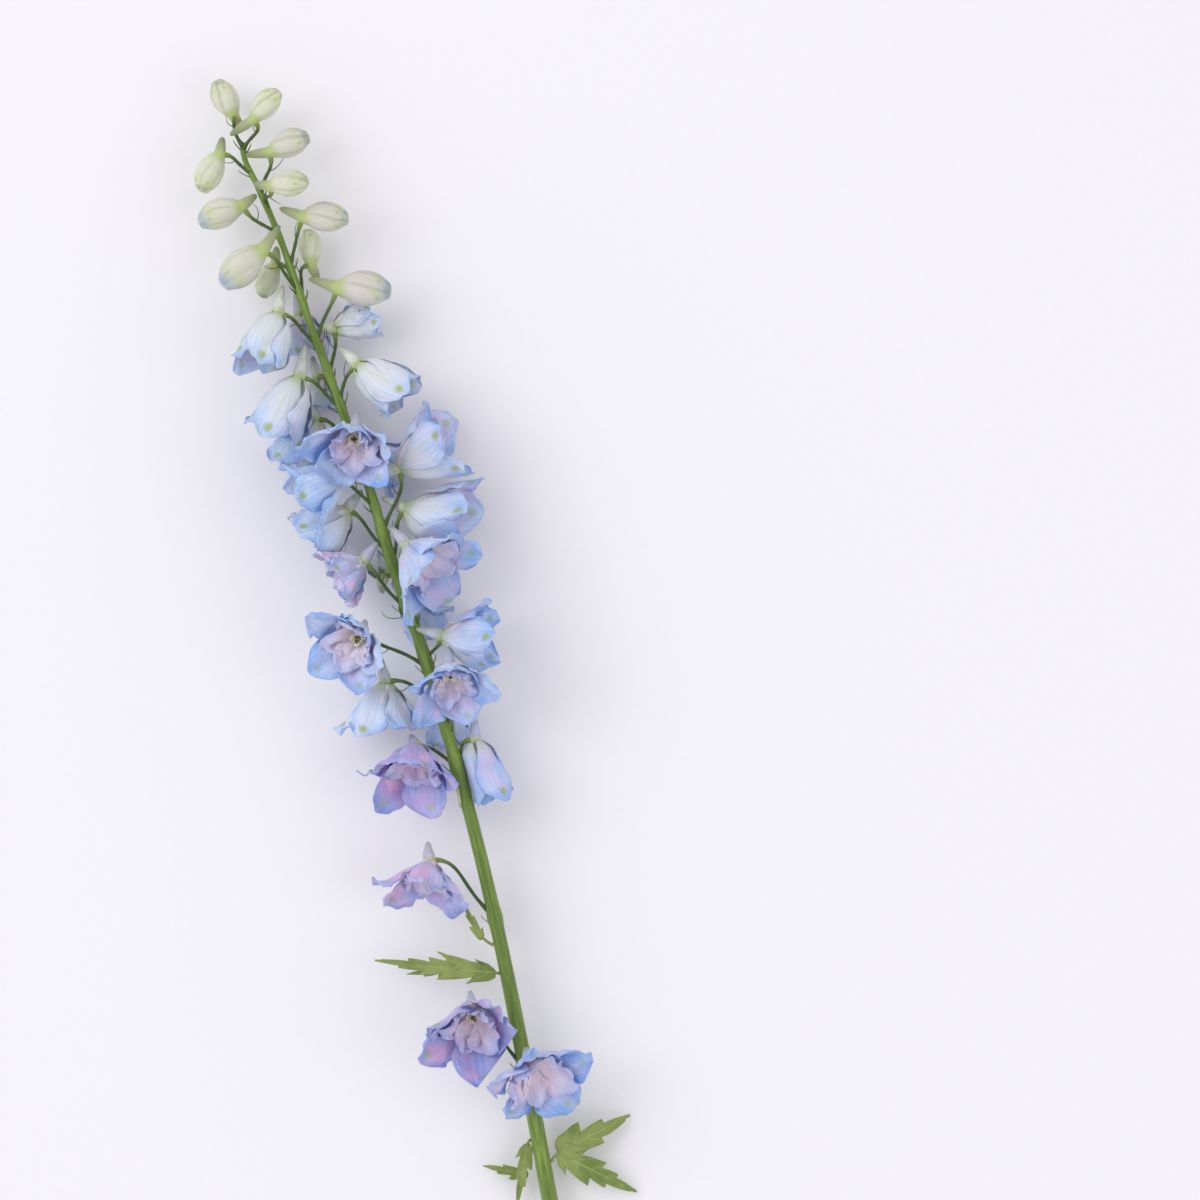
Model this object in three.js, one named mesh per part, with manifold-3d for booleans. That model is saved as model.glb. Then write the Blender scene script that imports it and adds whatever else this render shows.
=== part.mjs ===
// A cut delphinium flower spike, lying on a flat surface.
// Millimetres. The stem runs along +Y from its cut end to the topmost buds, and +Z is up.
import * as THREE from "three";
import { mergeVertices } from "three/addons/utils/BufferGeometryUtils.js";
import Module from "manifold-3d";

const wasm = await Module();
wasm.setup();

// ---- Driving dimensions ----
const PETAL = 0.7; // thickness of sepals and petals
const LEAF = 0.8; // thickness of leaf blades
const SEAM = 0.3; // gap between pieces that touch
const CLEAR = 0.25; // half of the gap kept between neighbouring blooms
const SOFTNESS = 1.5; // how gently a petal bends where it meets a neighbour
const RECEPTACLE = 2.6; // from the axis of a bloom to a flat side of the knob that carries it
const STEM_FOOT = 4.9; // stem radius at the cut end
const STEM_TIP = 1.2; // stem radius below the topmost buds
const STEM_LENGTH = 692;
const PEDICEL = 0.95; // radius of a flower stalk
const SEPALS = 5;
const SMALL = 38; // sepals up to this length are drawn with fewer facets

// The whole spike is moved by this much to bring the middle of its box over the origin.
const SHIFT = { x: -11, y: -363.4 };

// Stem centreline: x is its slight bow, z its height over the surface that it lies on.
const STEM_ROUTE = [
  [0, 0, 4.53], [7, 85, 12.5], [14, 163, 20], [19, 230, 26.5], [21.5, 287, 31], [22, 335, 33.5],
  [21, 390, 35], [17.5, 447, 35], [16, 500, 34], [12, 552, 31.5], [8.6, 592, 29.5], [5.7, 634, 27],
  [1.5, 665, 25], [-1.5, 682, 24], [-0.3, STEM_LENGTH, 23.5],
];

// Blooms from the top down. root: height on the stem where the stalk leaves it. base: where the stalk
// carries the bloom. aim: the way that the mouth or the tip of the bud faces. size: sepal length.
// spur: length of the spur. open: 0 is a narrow bell and 1 a flat bloom. inner: number of inner petals.
const BUDS = [
  { root: 690, base: [-1, 707, 20], aim: [-0.2, 1, 0.05], size: 21, spur: 8 },
  { root: 688, base: [9, 702, 29], aim: [0.85, 0.53, 0.1], size: 20, spur: 15 },
  { root: 675, base: [-14, 689, 25], aim: [-0.65, -0.76, 0.05], size: 22, spur: 9 },
  { root: 662, base: [13, 682, 31], aim: [0.99, 0.11, 0.1], size: 22, spur: 13 },
  { root: 655, base: [9, 663, 42], aim: [0.9, -0.17, 0.4], size: 21, spur: 10 },
  { root: 638, base: [-10, 658, 27], aim: [-0.99, -0.13, 0.1], size: 24, spur: 10 },
  { root: 619, base: [21, 643, 32], aim: [0.94, -0.33, 0.1], size: 24, spur: 13 },
  { root: 600, base: [18, 617, 18], aim: [0.15, 0.95, -0.2], size: 19, spur: 9 },
  { root: 605, base: [-5, 631, 37], aim: [-0.88, -0.45, 0.05], size: 28, spur: 16 },
  { root: 597, base: [-1, 623, 15], aim: [-0.6, -0.8, -0.15], size: 19, spur: 9 },
  { root: 575, base: [29, 600, 36], aim: [0.94, -0.34, 0.05], size: 28, spur: 16 },
];
const FLORETS = [
  { root: 573, base: [-6, 595, 34], aim: [-0.55, -0.75, 0.35], size: 42, spur: 16, open: 0.05, inner: 0 },
  { root: 560, base: [5, 593, 13], aim: [-0.1, -0.9, -0.15], size: 28, spur: 11, open: 0.15, inner: 0 },
  { root: 555, base: [21, 579, 20], aim: [0.95, 0.1, -0.1], size: 27, spur: 9, open: 0.1, inner: 0 },
  { root: 536, base: [-4, 558, 36], aim: [-0.66, -0.75, 0.1], size: 44, spur: 17, open: 0.05, inner: 0 },
  { root: 539, base: [28, 556, 38], aim: [0.66, -0.74, 0.15], size: 40, spur: 14, open: 0.06, inner: 0 },
  { root: 522, base: [5, 556, 13], aim: [-0.1, -0.95, -0.15], size: 25, spur: 12, open: 0.15, inner: 0 },
  { root: 497, base: [18, 521, 45], aim: [-0.25, -0.58, 0.77], size: 41, spur: 12, open: 0.42, inner: 2 },
  { root: 504, base: [-2, 534, 20], aim: [-0.56, -0.82, -0.12], size: 36, spur: 7, open: 0.25, inner: 0 },
  { root: 478, base: [4, 499, 43], aim: [-0.95, -0.25, 0.1], size: 36, spur: 13, open: 0.3, inner: 1 },
  { root: 464, base: [35, 495, 37], aim: [0.96, 0.25, 0.1], size: 45, spur: 14, open: 0.25, inner: 0 },
  { root: 462, base: [22, 508, 14], aim: [0.6, -0.5, -0.2], size: 29, spur: 12, open: 0.25, inner: 0 },
  { root: 446, base: [32, 473, 32], aim: [0.85, -0.52, 0.12], size: 46, spur: 14, open: 0.25, inner: 0 },
  { root: 452, base: [2, 481, 27], aim: [-0.88, -0.45, -0.05], size: 39, spur: 13, open: 0.35, inner: 0 },
  { root: 420, base: [3, 451, 38], aim: [-0.92, -0.3, 0.1], size: 30, spur: 12, open: 0.4, inner: 0 },
  { root: 426, base: [10, 440, 20], aim: [-0.1, 0.8, -0.4], size: 23, spur: 9, open: 0, inner: 0 },
  { root: 412, base: [28, 453, 47], aim: [0.5, -0.75, 0.45], size: 46, spur: 14, open: 0.42, inner: 3 },
  { root: 385, base: [-8, 413, 40], aim: [-0.5, -0.28, 0.82], size: 39, spur: 10, open: 0.45, inner: 3 },
  { root: 388, base: [33, 400, 41], aim: [0.95, -0.3, 0.1], size: 38, spur: 14, open: 0.25, inner: 0 },
  { root: 395, base: [18, 424, 14], aim: [0.4, -0.7, -0.2], size: 30, spur: 12, open: 0.2, inner: 0 },
  { root: 363, base: [-3, 384, 32], aim: [-0.34, -0.9, -0.2], size: 40, spur: 13, open: 0.36, inner: 3 },
  { root: 350, base: [33, 383, 50], aim: [-0.08, -0.74, 0.66], size: 37, spur: 10, open: 0.45, inner: 2 },
  { root: 330, base: [25, 362, 14], aim: [-0.15, -0.9, -0.15], size: 30, spur: 12, open: 0.2, inner: 0 },
  { root: 329, base: [35, 340, 32], aim: [-0.02, -0.98, -0.1], size: 40, spur: 14, open: 0, inner: 0 },
  { root: 328, base: [3, 346, 33], aim: [-0.25, -0.75, 0.6], size: 40, spur: 6, open: 0.32, inner: 2 },
  { root: 243, base: [-6, 283, 36], aim: [-0.4, -0.85, 0.3], size: 37, spur: 10, open: 0.55, inner: 2 },
  { root: 158, base: [-5, 198, 31], aim: [-0.18, -0.6, 0.78], size: 43, spur: 12, open: 0.42, inner: 2 },
  { root: 142, base: [17, 163, 37], aim: [0.14, -0.74, 0.66], size: 38, spur: 5, open: 0.7, inner: 0 },
];

const LILAC_FLORETS = [24, 25, 26]; // counted from the top

// Where two or more inner petals are drawn, the cream petals in the throat show as well.
const showsEye = (bloom) => bloom.inner > 1;

// Leaves: root is the height on the stem, side the way the stalk leaves it. Each lobe runs from one point
// to another, with its greatest half-width.
const LEAVES = [
  {
    root: 228, side: [-0.8, 0.5, 0.2],
    lobes: [{ from: [10, 233, 28], to: [4, 256, 15], width: 3.2 }],
  },
  {
    root: 212, side: [-1, 0.3, 0],
    lobes: [
      { from: [12, 213, 24], to: [-51, 237, 12], width: 7.5 },
      { from: [-2, 219, 25], to: [-16, 233, 25], width: 3.5 },
      { from: [-8, 221, 25], to: [-36, 225, 14], width: 4 },
    ],
  },
  {
    root: 118, side: [-1, -0.2, 0],
    lobes: [
      { from: [3, 117, 14], to: [-12, 84, 4], width: 5 },
      { from: [-1, 100, 10.5], to: [-24, 111, 6], width: 4.5 },
    ],
  },
  {
    root: 104, side: [1, 0.2, 0],
    lobes: [
      { from: [18, 108, 13], to: [62, 116, 3], width: 10 },
      { from: [18, 108, 13], to: [54, 74, 3], width: 10 },
    ],
  },
];

// ---- Materials ----
const finish = (color, roughness) => new THREE.MeshStandardMaterial({ color, roughness, metalness: 0 });
const GREEN_STEM = finish("#64862f", 0.55);
const LEAF_GREEN = finish("#7f9f48", 0.6);
const BUD_CREAM = finish("#dde2cd", 0.6);
const SKY_BLUE = finish("#aac4ee", 0.65);
const LILAC = finish("#b9a3d8", 0.65);
const EYE_CREAM = finish("#efe9d2", 0.7);

// ---- Helpers ----
const vec = (x, y, z) => new THREE.Vector3(x, y, z);
const mix = THREE.MathUtils.lerp;
const smooth = THREE.MathUtils.smoothstep;

// Seeded draws, so that the model is the same each time.
function seeded(seed) {
  let state = seed * 2654435761;
  return (low, high) => {
    state = (state + 0x6d2b79f5) | 0;
    let word = Math.imul(state ^ (state >>> 15), 1 | state);
    word = (word + Math.imul(word ^ (word >>> 7), 61 | word)) ^ word;
    return low + (high - low) * (((word ^ (word >>> 14)) >>> 0) / 4294967296);
  };
}

function toSolid(geometry) {
  const merged = mergeVertices(geometry, 1e-4);
  const vertProperties = new Float32Array(merged.attributes.position.array);
  return new wasm.Manifold(
    new wasm.Mesh({ numProp: 3, vertProperties, triVerts: new Uint32Array(merged.index.array) }),
  );
}

function join(geometries) {
  const solid = geometries.map(toSolid).reduce((whole, piece) => whole.add(piece));
  const { vertProperties, triVerts } = solid.simplify(0.06).getMesh();
  const geometry = new THREE.BufferGeometry();
  geometry.setAttribute("position", new THREE.BufferAttribute(vertProperties, 3));
  geometry.setIndex(new THREE.BufferAttribute(triVerts, 1));
  geometry.computeVertexNormals();
  return geometry;
}

function closedMesh(points, triangles) {
  const geometry = new THREE.BufferGeometry();
  geometry.setAttribute("position", new THREE.Float32BufferAttribute(points.flatMap((p) => p.toArray()), 3));
  geometry.setIndex(triangles);
  return geometry;
}

// A round closed bar through a row of points, with a radius at each.
function bar(points, radii, sides) {
  const ring = [];
  let across = vec(0, 0, 1);
  points.forEach((point, i) => {
    const [before, after] = [points[Math.max(i - 1, 0)], points[Math.min(i + 1, points.length - 1)]];
    const along = after.clone().sub(before).normalize();
    if (Math.abs(across.dot(along)) > 0.95) across = vec(1, 0, 0);
    across = across.addScaledVector(along, -across.dot(along)).normalize();
    const other = along.clone().cross(across);
    for (let k = 0; k < sides; k++) {
      const angle = ((k + 0.5) / sides) * 2 * Math.PI;
      ring.push(
        point.clone()
          .addScaledVector(across, Math.cos(angle) * radii[i])
          .addScaledVector(other, Math.sin(angle) * radii[i]),
      );
    }
  });
  const triangles = [];
  for (let i = 0; i < points.length - 1; i++) {
    for (let k = 0; k < sides; k++) {
      const a = i * sides + k;
      const b = i * sides + ((k + 1) % sides);
      triangles.push(a, b, b + sides, a, b + sides, a + sides);
    }
  }
  const last = (points.length - 1) * sides;
  for (let k = 1; k < sides - 1; k++) {
    triangles.push(0, k + 1, k, last, last + k, last + k + 1);
  }
  return closedMesh(ring, triangles);
}

// A closed blade around a middle surface, both faces split into triangles alike.
// middle(u, v) gives a point for u from -1 to 1 across and v from 0 to 1 along.
function blade(middle, columns, rows, thickness) {
  const grid = [];
  for (let j = 0; j <= rows; j++) {
    for (let i = 0; i <= columns; i++) grid.push(middle((2 * i) / columns - 1, j / rows));
  }
  const at = (i, j) =>
    grid[THREE.MathUtils.clamp(j, 0, rows) * (columns + 1) + THREE.MathUtils.clamp(i, 0, columns)];
  const front = [];
  const back = [];
  for (let j = 0; j <= rows; j++) {
    for (let i = 0; i <= columns; i++) {
      const across = at(i + 1, j).clone().sub(at(i - 1, j));
      const along = at(i, j + 1).clone().sub(at(i, j - 1));
      const normal = across.cross(along).normalize();
      front.push(at(i, j).clone().addScaledVector(normal, thickness / 2));
      back.push(at(i, j).clone().addScaledVector(normal, -thickness / 2));
    }
  }
  const count = front.length;
  const triangles = [];
  for (let j = 0; j < rows; j++) {
    for (let i = 0; i < columns; i++) {
      const a = j * (columns + 1) + i;
      const [b, c, d] = [a + 1, a + columns + 2, a + columns + 1];
      const cells = i < columns / 2 ? [[a, b, d], [b, c, d]] : [[a, b, c], [a, c, d]];
      for (const [p, q, r] of cells) triangles.push(p, q, r, count + p, count + r, count + q);
    }
  }
  const edge = [];
  for (let i = 0; i < columns; i++) edge.push([i, i + 1]);
  for (let j = 0; j < rows; j++) edge.push([j * (columns + 1) + columns, (j + 1) * (columns + 1) + columns]);
  for (let i = columns; i > 0; i--) edge.push([rows * (columns + 1) + i, rows * (columns + 1) + i - 1]);
  for (let j = rows; j > 0; j--) edge.push([j * (columns + 1), (j - 1) * (columns + 1)]);
  for (const [p, q] of edge) triangles.push(p, count + q, q, p, count + p, count + q);
  return closedMesh([...front, ...back], triangles);
}

// ---- Stem and stalks ----
const stemCurve = new THREE.CatmullRomCurve3(STEM_ROUTE.map((p) => vec(...p)), false, "centripetal");
const STEM_SAMPLES = stemCurve.getPoints(700);

function stemAt(height) {
  const i = Math.max(1, STEM_SAMPLES.findIndex((p) => p.y >= height));
  const [low, high] = [STEM_SAMPLES[i - 1], STEM_SAMPLES[i]];
  const share = THREE.MathUtils.clamp((height - low.y) / (high.y - low.y), 0, 1);
  return { point: low.clone().lerp(high, share), along: high.clone().sub(low).normalize() };
}

const stemRadius = (height) => mix(STEM_TIP, STEM_FOOT, Math.pow(1 - height / (STEM_LENGTH + 8), 0.8));

// The frame of a bloom: z is the way it faces, y its upper side, where the spur grows.
function frameOf(bloom) {
  const facing = vec(...bloom.aim).normalize();
  const upper = vec(...bloom.base).sub(stemAt(bloom.base[1]).point).setY(0).setLength(0.6).setY(1);
  upper.addScaledVector(facing, -upper.dot(facing)).normalize();
  return new THREE.Matrix4()
    .makeBasis(upper.clone().cross(facing), upper, facing)
    .setPosition(...bloom.base);
}

// A stalk leaves the stem upwards, arches over and meets its bloom from behind and below.
const HEEL = vec(0, -0.97, -0.25);
const knobOf = (bloom) => (bloom.open === undefined ? 0.155 * bloom.size : RECEPTACLE);

function stalkCurve(bloom) {
  const frame = frameOf(bloom);
  const end = HEEL.clone().multiplyScalar(knobOf(bloom) + SEAM).applyMatrix4(frame);
  const arriving = HEEL.clone().transformDirection(frame);
  const { point, along } = stemAt(bloom.root);
  const out = end.clone().sub(point);
  out.addScaledVector(along, -out.dot(along)).normalize();
  const reach = end.distanceTo(point);
  const leaving = out.clone().multiplyScalar(0.6).addScaledVector(along, 0.8);
  return new THREE.CubicBezierCurve3(
    point,
    point.clone().addScaledVector(leaving, 0.55 * reach),
    end.clone().addScaledVector(arriving, 0.35 * reach),
    end,
  );
}

function stalk(bloom) {
  const steps = 4;
  const radii = Array.from({ length: steps + 1 }, (_, i) => PEDICEL + 0.5 * smooth(i / steps, 0.75, 1));
  return bar(stalkCurve(bloom).getPoints(steps), radii, 4);
}

function stem() {
  const rings = 16;
  const points = Array.from({ length: rings + 1 }, (_, i) => stemAt((i / rings) * STEM_LENGTH).point);
  const radii = points.map((p) => stemRadius(p.y));
  const blooms = [...BUDS, ...FLORETS];
  return join([bar(points, radii, 8), ...blooms.map(stalk)]);
}

// ---- Blooms ----
// Each bloom keeps to its own room. A wall is a plane that its petals bend clear of:
// the surface below, the stem, and the planes between it and its neighbours.
const heartOf = (bloom) =>
  vec(...bloom.aim).normalize().multiplyScalar(0.4 * bloom.size).add(vec(...bloom.base));
const breadthOf = (bloom) => bloom.size * (bloom.open === undefined ? 0.4 : 0.5 + 0.4 * bloom.open);

function wallsOf(bloom) {
  const heart = heartOf(bloom);
  const walls = [{ normal: vec(0, 0, -1), reach: 0 }];
  const { point, along } = stemAt(heart.y);
  const inward = point.clone().sub(heart);
  inward.addScaledVector(along, -inward.dot(along)).normalize();
  walls.push({ normal: inward, reach: inward.dot(point) - stemRadius(heart.y) - CLEAR });
  for (const other of [...BUDS, ...FLORETS]) {
    const away = heartOf(other).sub(heart);
    const distance = away.length();
    const [mine, theirs] = [breadthOf(bloom), breadthOf(other)];
    if (other === bloom || distance > mine + theirs) continue;
    const share = (distance * distance + mine * mine - theirs * theirs) / (2 * distance);
    away.normalize();
    walls.push({ normal: away, reach: away.dot(heart) + share - CLEAR });
  }
  return walls;
}

// The first pass bends a petal gently where it nears a wall, and the others only mend what is past one.
function settle(point, walls, clearance) {
  for (const softness of [SOFTNESS, 0, 0, 0]) {
    for (const { normal, reach } of walls) {
      const over = normal.dot(point) - reach + clearance;
      if (over <= -softness) continue;
      const back = over >= softness ? over : (over + softness) ** 2 / (4 * softness);
      point.addScaledVector(normal, -back);
    }
  }
  return point;
}

// The middle line of a sepal in the plane of its axis, from the knob to its tip. Its angles are in degrees
// from the axis. In a narrow bell it starts nearly square to the axis, soon turns along it and flares a
// little at the tip. In a flat bloom it leans further and further out.
function meridian(size, open, v) {
  const steps = 16;
  let [radius, height] = [1, 0.6];
  for (let i = 0; i < steps; i++) {
    const s = ((i + 0.5) / steps) * v;
    const bell = 85 * Math.exp(-4.5 * s) + 2 + 14 * smooth(s, 0.75, 1);
    const angle = THREE.MathUtils.degToRad(mix(bell, 58 + 26 * s, open));
    radius += (Math.sin(angle) * size * v) / steps;
    height += (Math.cos(angle) * size * v) / steps;
  }
  return { radius, height };
}

// Half-width of a sepal along its length, as a share of its greatest: a narrow claw, then a broad round
// blade.
const outline = (v) =>
  mix(0.14, 1, smooth(v, 0, 0.68)) * Math.sqrt(1 - 0.7 * Math.pow(Math.max(v - 0.6, 0) / 0.4, 2));

// A sepal or petal: u runs across it and v along it. It laps its neighbours like the blades of a fan.
function petalPoint(petal, u, v) {
  const { size, open, turn, width, lap, ripple, phase } = petal;
  const along = v * (1 - 0.1 * u * u);
  const { radius, height } = meridian(size, open, along);
  const ahead = meridian(size, open, along + 0.02);
  const lean = Math.atan2(ahead.radius - radius, ahead.height - height);
  const half = width * size * outline(v);
  const cup = mix(Math.max(radius, 4), 18, Math.pow(open, 1.2));
  const angle = (u * half) / cup;
  const wave = ripple * v * Math.sin(phase + 4 * v + 2.2 * u) * (0.4 + 0.6 * Math.abs(u));
  const lift = lap * u * smooth(v, 0, 0.35) + wave - cup * (1 - Math.cos(angle));
  const side = cup * Math.sin(angle);
  const outward = radius + lift * Math.cos(lean);
  return vec(
    outward * Math.cos(turn) - side * Math.sin(turn),
    outward * Math.sin(turn) + side * Math.cos(turn),
    height - lift * Math.sin(lean),
  );
}

function floret(bloom, seed) {
  const draw = seeded(seed);
  const frame = frameOf(bloom);
  const back = frame.clone().invert();
  const walls = wallsOf(bloom);
  const place = (petal, layer) => (u, v) =>
    settle(petalPoint(petal, u, v).applyMatrix4(frame), walls, PETAL / 2 + 0.9 * layer).applyMatrix4(back);
  const pieces = [spur(bloom, draw(2, 5))];
  for (let k = 0; k < SEPALS; k++) {
    const sepal = {
      size: bloom.size * draw(0.88, 1.08),
      open: THREE.MathUtils.clamp(bloom.open + draw(-0.1, 0.12), 0, 1),
      turn: Math.PI / 2 + (k / SEPALS) * 2 * Math.PI + draw(-0.15, 0.15),
      width: mix(0.3, 0.36, bloom.open) * draw(0.94, 1.06),
      lap: 1.5,
      ripple: draw(0.3, 0.8) + 0.8 * bloom.open,
      phase: draw(0, 6.28),
    };
    pieces.push(blade(place(sepal, k % 2), 2, bloom.size > SMALL ? 3 : 2, PETAL));
  }
  for (let k = 0; k < bloom.inner; k++) {
    const petal = {
      size: bloom.size * draw(0.5, 0.62),
      open: bloom.open * 0.5,
      turn: Math.PI / 2 + ((k + 0.5) / bloom.inner) * 2 * Math.PI + draw(-0.15, 0.15),
      width: draw(0.3, 0.38),
      lap: 0.8,
      ripple: draw(0.8, 1.6),
      phase: draw(0, 6.28),
    };
    pieces.push(blade(place(petal, 2 + (k % 2)), 1, 2, PETAL));
  }
  return placed(join(pieces), frame);
}

// The knob that carries the petals and the spur that tapers back from it, in one bar.
// With no eye in front of it, the knob reaches further into the bloom.
function spur(bloom, rise) {
  const length = bloom.spur;
  const [top, neck] = showsEye(bloom) ? [2.4, 1.6] : [5, 3];
  const points = [
    vec(0, 0, top), vec(0, 0.3, 0), vec(0, 0.9 + 0.2 * rise, -0.3 * length),
    vec(0, 0.4 + 0.7 * rise, -0.7 * length), vec(0, rise, -length),
  ];
  return bar(points, [neck, RECEPTACLE * Math.SQRT2, 3.4, 2.2, 0.9], 4);
}

function bud(bloom, seed) {
  const draw = seeded(seed);
  const [size, rise] = [bloom.size, draw(2, 4)];
  const shares = [0.02, 0.22, 0.5, 0.82, 1];
  const points = [vec(0, rise, -bloom.spur), vec(0, 0.5 * rise, -0.5 * bloom.spur)];
  const radii = [1.2, 2.5];
  for (const share of shares) {
    const blunt = Math.sqrt(1 - 0.5 * Math.pow(share, 6));
    points.push(vec(0, 0.6 * Math.sin(3 * share), share * size));
    radii.push(size * 0.33 * Math.pow(Math.sin(Math.PI * (0.12 + 0.66 * share)), 0.8) * blunt);
  }
  return placed(bar(points, radii, 7), frameOf(bloom));
}

// The cream petals in the throat of an open bloom, in front of the knob.
function eye(bloom) {
  const start = 2.4 + SEAM;
  const points = [0, 2.2, 5].map((z) => vec(0, 0, start + z));
  return placed(bar(points, [0.8, 1.5, 2.3], 5), frameOf(bloom));
}

function placed(geometry, frame) {
  geometry.computeVertexNormals();
  const mesh = new THREE.Mesh(geometry);
  frame.decompose(mesh.position, mesh.quaternion, mesh.scale);
  return mesh;
}

// ---- Leaves ----
// A lobe with a toothed edge, arched along its length and folded a little along its rib.
function lobe({ from, to, width }) {
  const [start, end] = [vec(...from), vec(...to)];
  const along = end.clone().sub(start);
  const side = along.clone().cross(vec(0, 0, 1)).normalize();
  const steps = 4;
  return blade((u, v) => {
    const tooth = Math.round(v * steps) % 2 ? 1.15 : 0.8;
    const half = width * (1 - 0.5 * v) * Math.sin(Math.PI * (0.12 + 0.84 * Math.pow(v, 0.6))) * tooth;
    return start.clone()
      .addScaledVector(along, v - 0.03 * Math.abs(u) * tooth)
      .addScaledVector(side, u * half)
      .add(vec(0, 0, 0.1 * along.length() * Math.sin(Math.PI * v) + 0.25 * half * Math.abs(u)));
  }, 2, steps, LEAF);
}

function leaf({ root, side, lobes }) {
  const { point, along } = stemAt(root);
  const out = vec(...side);
  out.addScaledVector(along, -out.dot(along)).normalize();
  const start = point.addScaledVector(out, stemRadius(root) + SEAM);
  const end = vec(...lobes[0].from);
  const stalkEnd = end.clone().add(vec(...lobes[0].to).sub(end).multiplyScalar(0.08));
  const middle = start.clone().lerp(end, 0.5);
  return new THREE.Mesh(join([bar([start, middle, stalkEnd], [0.9, 0.8, 0.7], 4), ...lobes.map(lobe)]));
}

// ---- The spike ----
const spike = new THREE.Group();

function add(name, mesh, material) {
  mesh.name = name;
  mesh.material = material;
  mesh.position.x += SHIFT.x;
  mesh.position.y += SHIFT.y;
  spike.add(mesh);
}

const twoDigits = (i) => String(i + 1).padStart(2, "0");
add("stem", new THREE.Mesh(stem()), GREEN_STEM);
BUDS.forEach((row, i) => add(`bud_${twoDigits(i)}`, bud(row, i + 1), BUD_CREAM));
FLORETS.forEach((row, i) => {
  const name = twoDigits(i);
  add(`floret_${name}`, floret(row, 50 + i), LILAC_FLORETS.includes(i + 1) ? LILAC : SKY_BLUE);
  if (showsEye(row)) add(`eye_${name}`, eye(row), EYE_CREAM);
});
LEAVES.forEach((row, i) => add(`leaf_${twoDigits(i)}`, leaf(row), LEAF_GREEN));

export default spike;
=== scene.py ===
# %% [markdown]
# # A cut delphinium spike, dressed in Blender
# The plain solids give the size and place of each bud, floret, leaf and stalk. Each one is rebuilt here with
# thin curved blades, seams, veins and soft colour, in the same place and from the same named sizes. A spike
# could also be sculpted by hand. It is built from curves and sums instead, so that one number can open a
# floret or bend a petal.

# %% Load the plain solids
import math
import bpy
import numpy as np
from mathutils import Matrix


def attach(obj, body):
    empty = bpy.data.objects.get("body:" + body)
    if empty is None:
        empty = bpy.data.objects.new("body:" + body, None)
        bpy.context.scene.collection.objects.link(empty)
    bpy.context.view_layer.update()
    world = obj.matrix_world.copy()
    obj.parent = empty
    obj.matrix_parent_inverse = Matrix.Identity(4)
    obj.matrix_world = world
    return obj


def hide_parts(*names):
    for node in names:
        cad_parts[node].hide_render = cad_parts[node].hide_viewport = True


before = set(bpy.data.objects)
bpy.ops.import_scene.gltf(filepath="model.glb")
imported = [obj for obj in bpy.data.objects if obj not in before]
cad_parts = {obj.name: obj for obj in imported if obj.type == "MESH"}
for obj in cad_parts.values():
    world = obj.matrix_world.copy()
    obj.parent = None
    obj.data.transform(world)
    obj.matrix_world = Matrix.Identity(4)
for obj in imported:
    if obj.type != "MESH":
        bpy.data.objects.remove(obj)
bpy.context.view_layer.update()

print("solids in the frame:", len(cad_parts))

# %% [markdown]
# ## Camera
# The spike lies down, so the camera hangs straight over it and is turned a little, which makes the stem lean
# to the left. A short lens close by would make the raised blooms look too large, so a long one is used from
# far away.

# %% Camera
LEAN = math.radians(15.5)
LENS, SENSOR = 200.0, 36.0  # mm
PICTURE_WIDTH = 0.660  # metres seen from side to side
PICTURE_CENTRE = (0.1113, 0.0324, 0.035)
FAR_LIMIT = 20  # metres

camera_data = bpy.data.cameras.new("camera")
camera_data.lens, camera_data.sensor_width, camera_data.clip_end = LENS, SENSOR, FAR_LIMIT
camera = bpy.data.objects.new("camera", camera_data)
bpy.context.scene.collection.objects.link(camera)
bpy.context.scene.camera = camera
camera_height = PICTURE_WIDTH * LENS / SENSOR
camera.location = (PICTURE_CENTRE[0], PICTURE_CENTRE[1], PICTURE_CENTRE[2] + camera_height)
camera.rotation_euler = (0, 0, -LEAN)
print("camera height (m):", round(camera_height, 3))

# %% [markdown]
# ## Numbers shared with the solids
# Lengths are in millimetres. A row for a bloom says where its stalk leaves the stem (root), where the stalk
# carries it (base), which way its mouth or tip faces (aim), how long its sepals are (size) and how long its
# spur is. A floret also has how open it is, how many inner petals its solid shows, and whether its throat can
# be seen (eye). Three more values colour a bloom: fresh is how far the young green-white reaches up the
# sepals, pink is how much lilac-pink is washed over them, and deep is how strong the blue is. Spread over the
# code these numbers would be hard to compare, and in a table they stand side by side.

# %% Stem, buds, florets and leaves in numbers
STEM_FOOT, STEM_TIP, STEM_LENGTH = 4.9, 1.2, 692.0  # two radii and a length
STEM_ROUTE = [
    (0, 0, 4.53), (7, 85, 12.5), (14, 163, 20), (19, 230, 26.5), (21.5, 287, 31), (22, 335, 33.5),
    (21, 390, 35), (17.5, 447, 35), (16, 500, 34), (12, 552, 31.5), (8.6, 592, 29.5), (5.7, 634, 27),
    (1.5, 665, 25), (-1.5, 682, 24), (-0.3, 692, 23.5),
]
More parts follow.
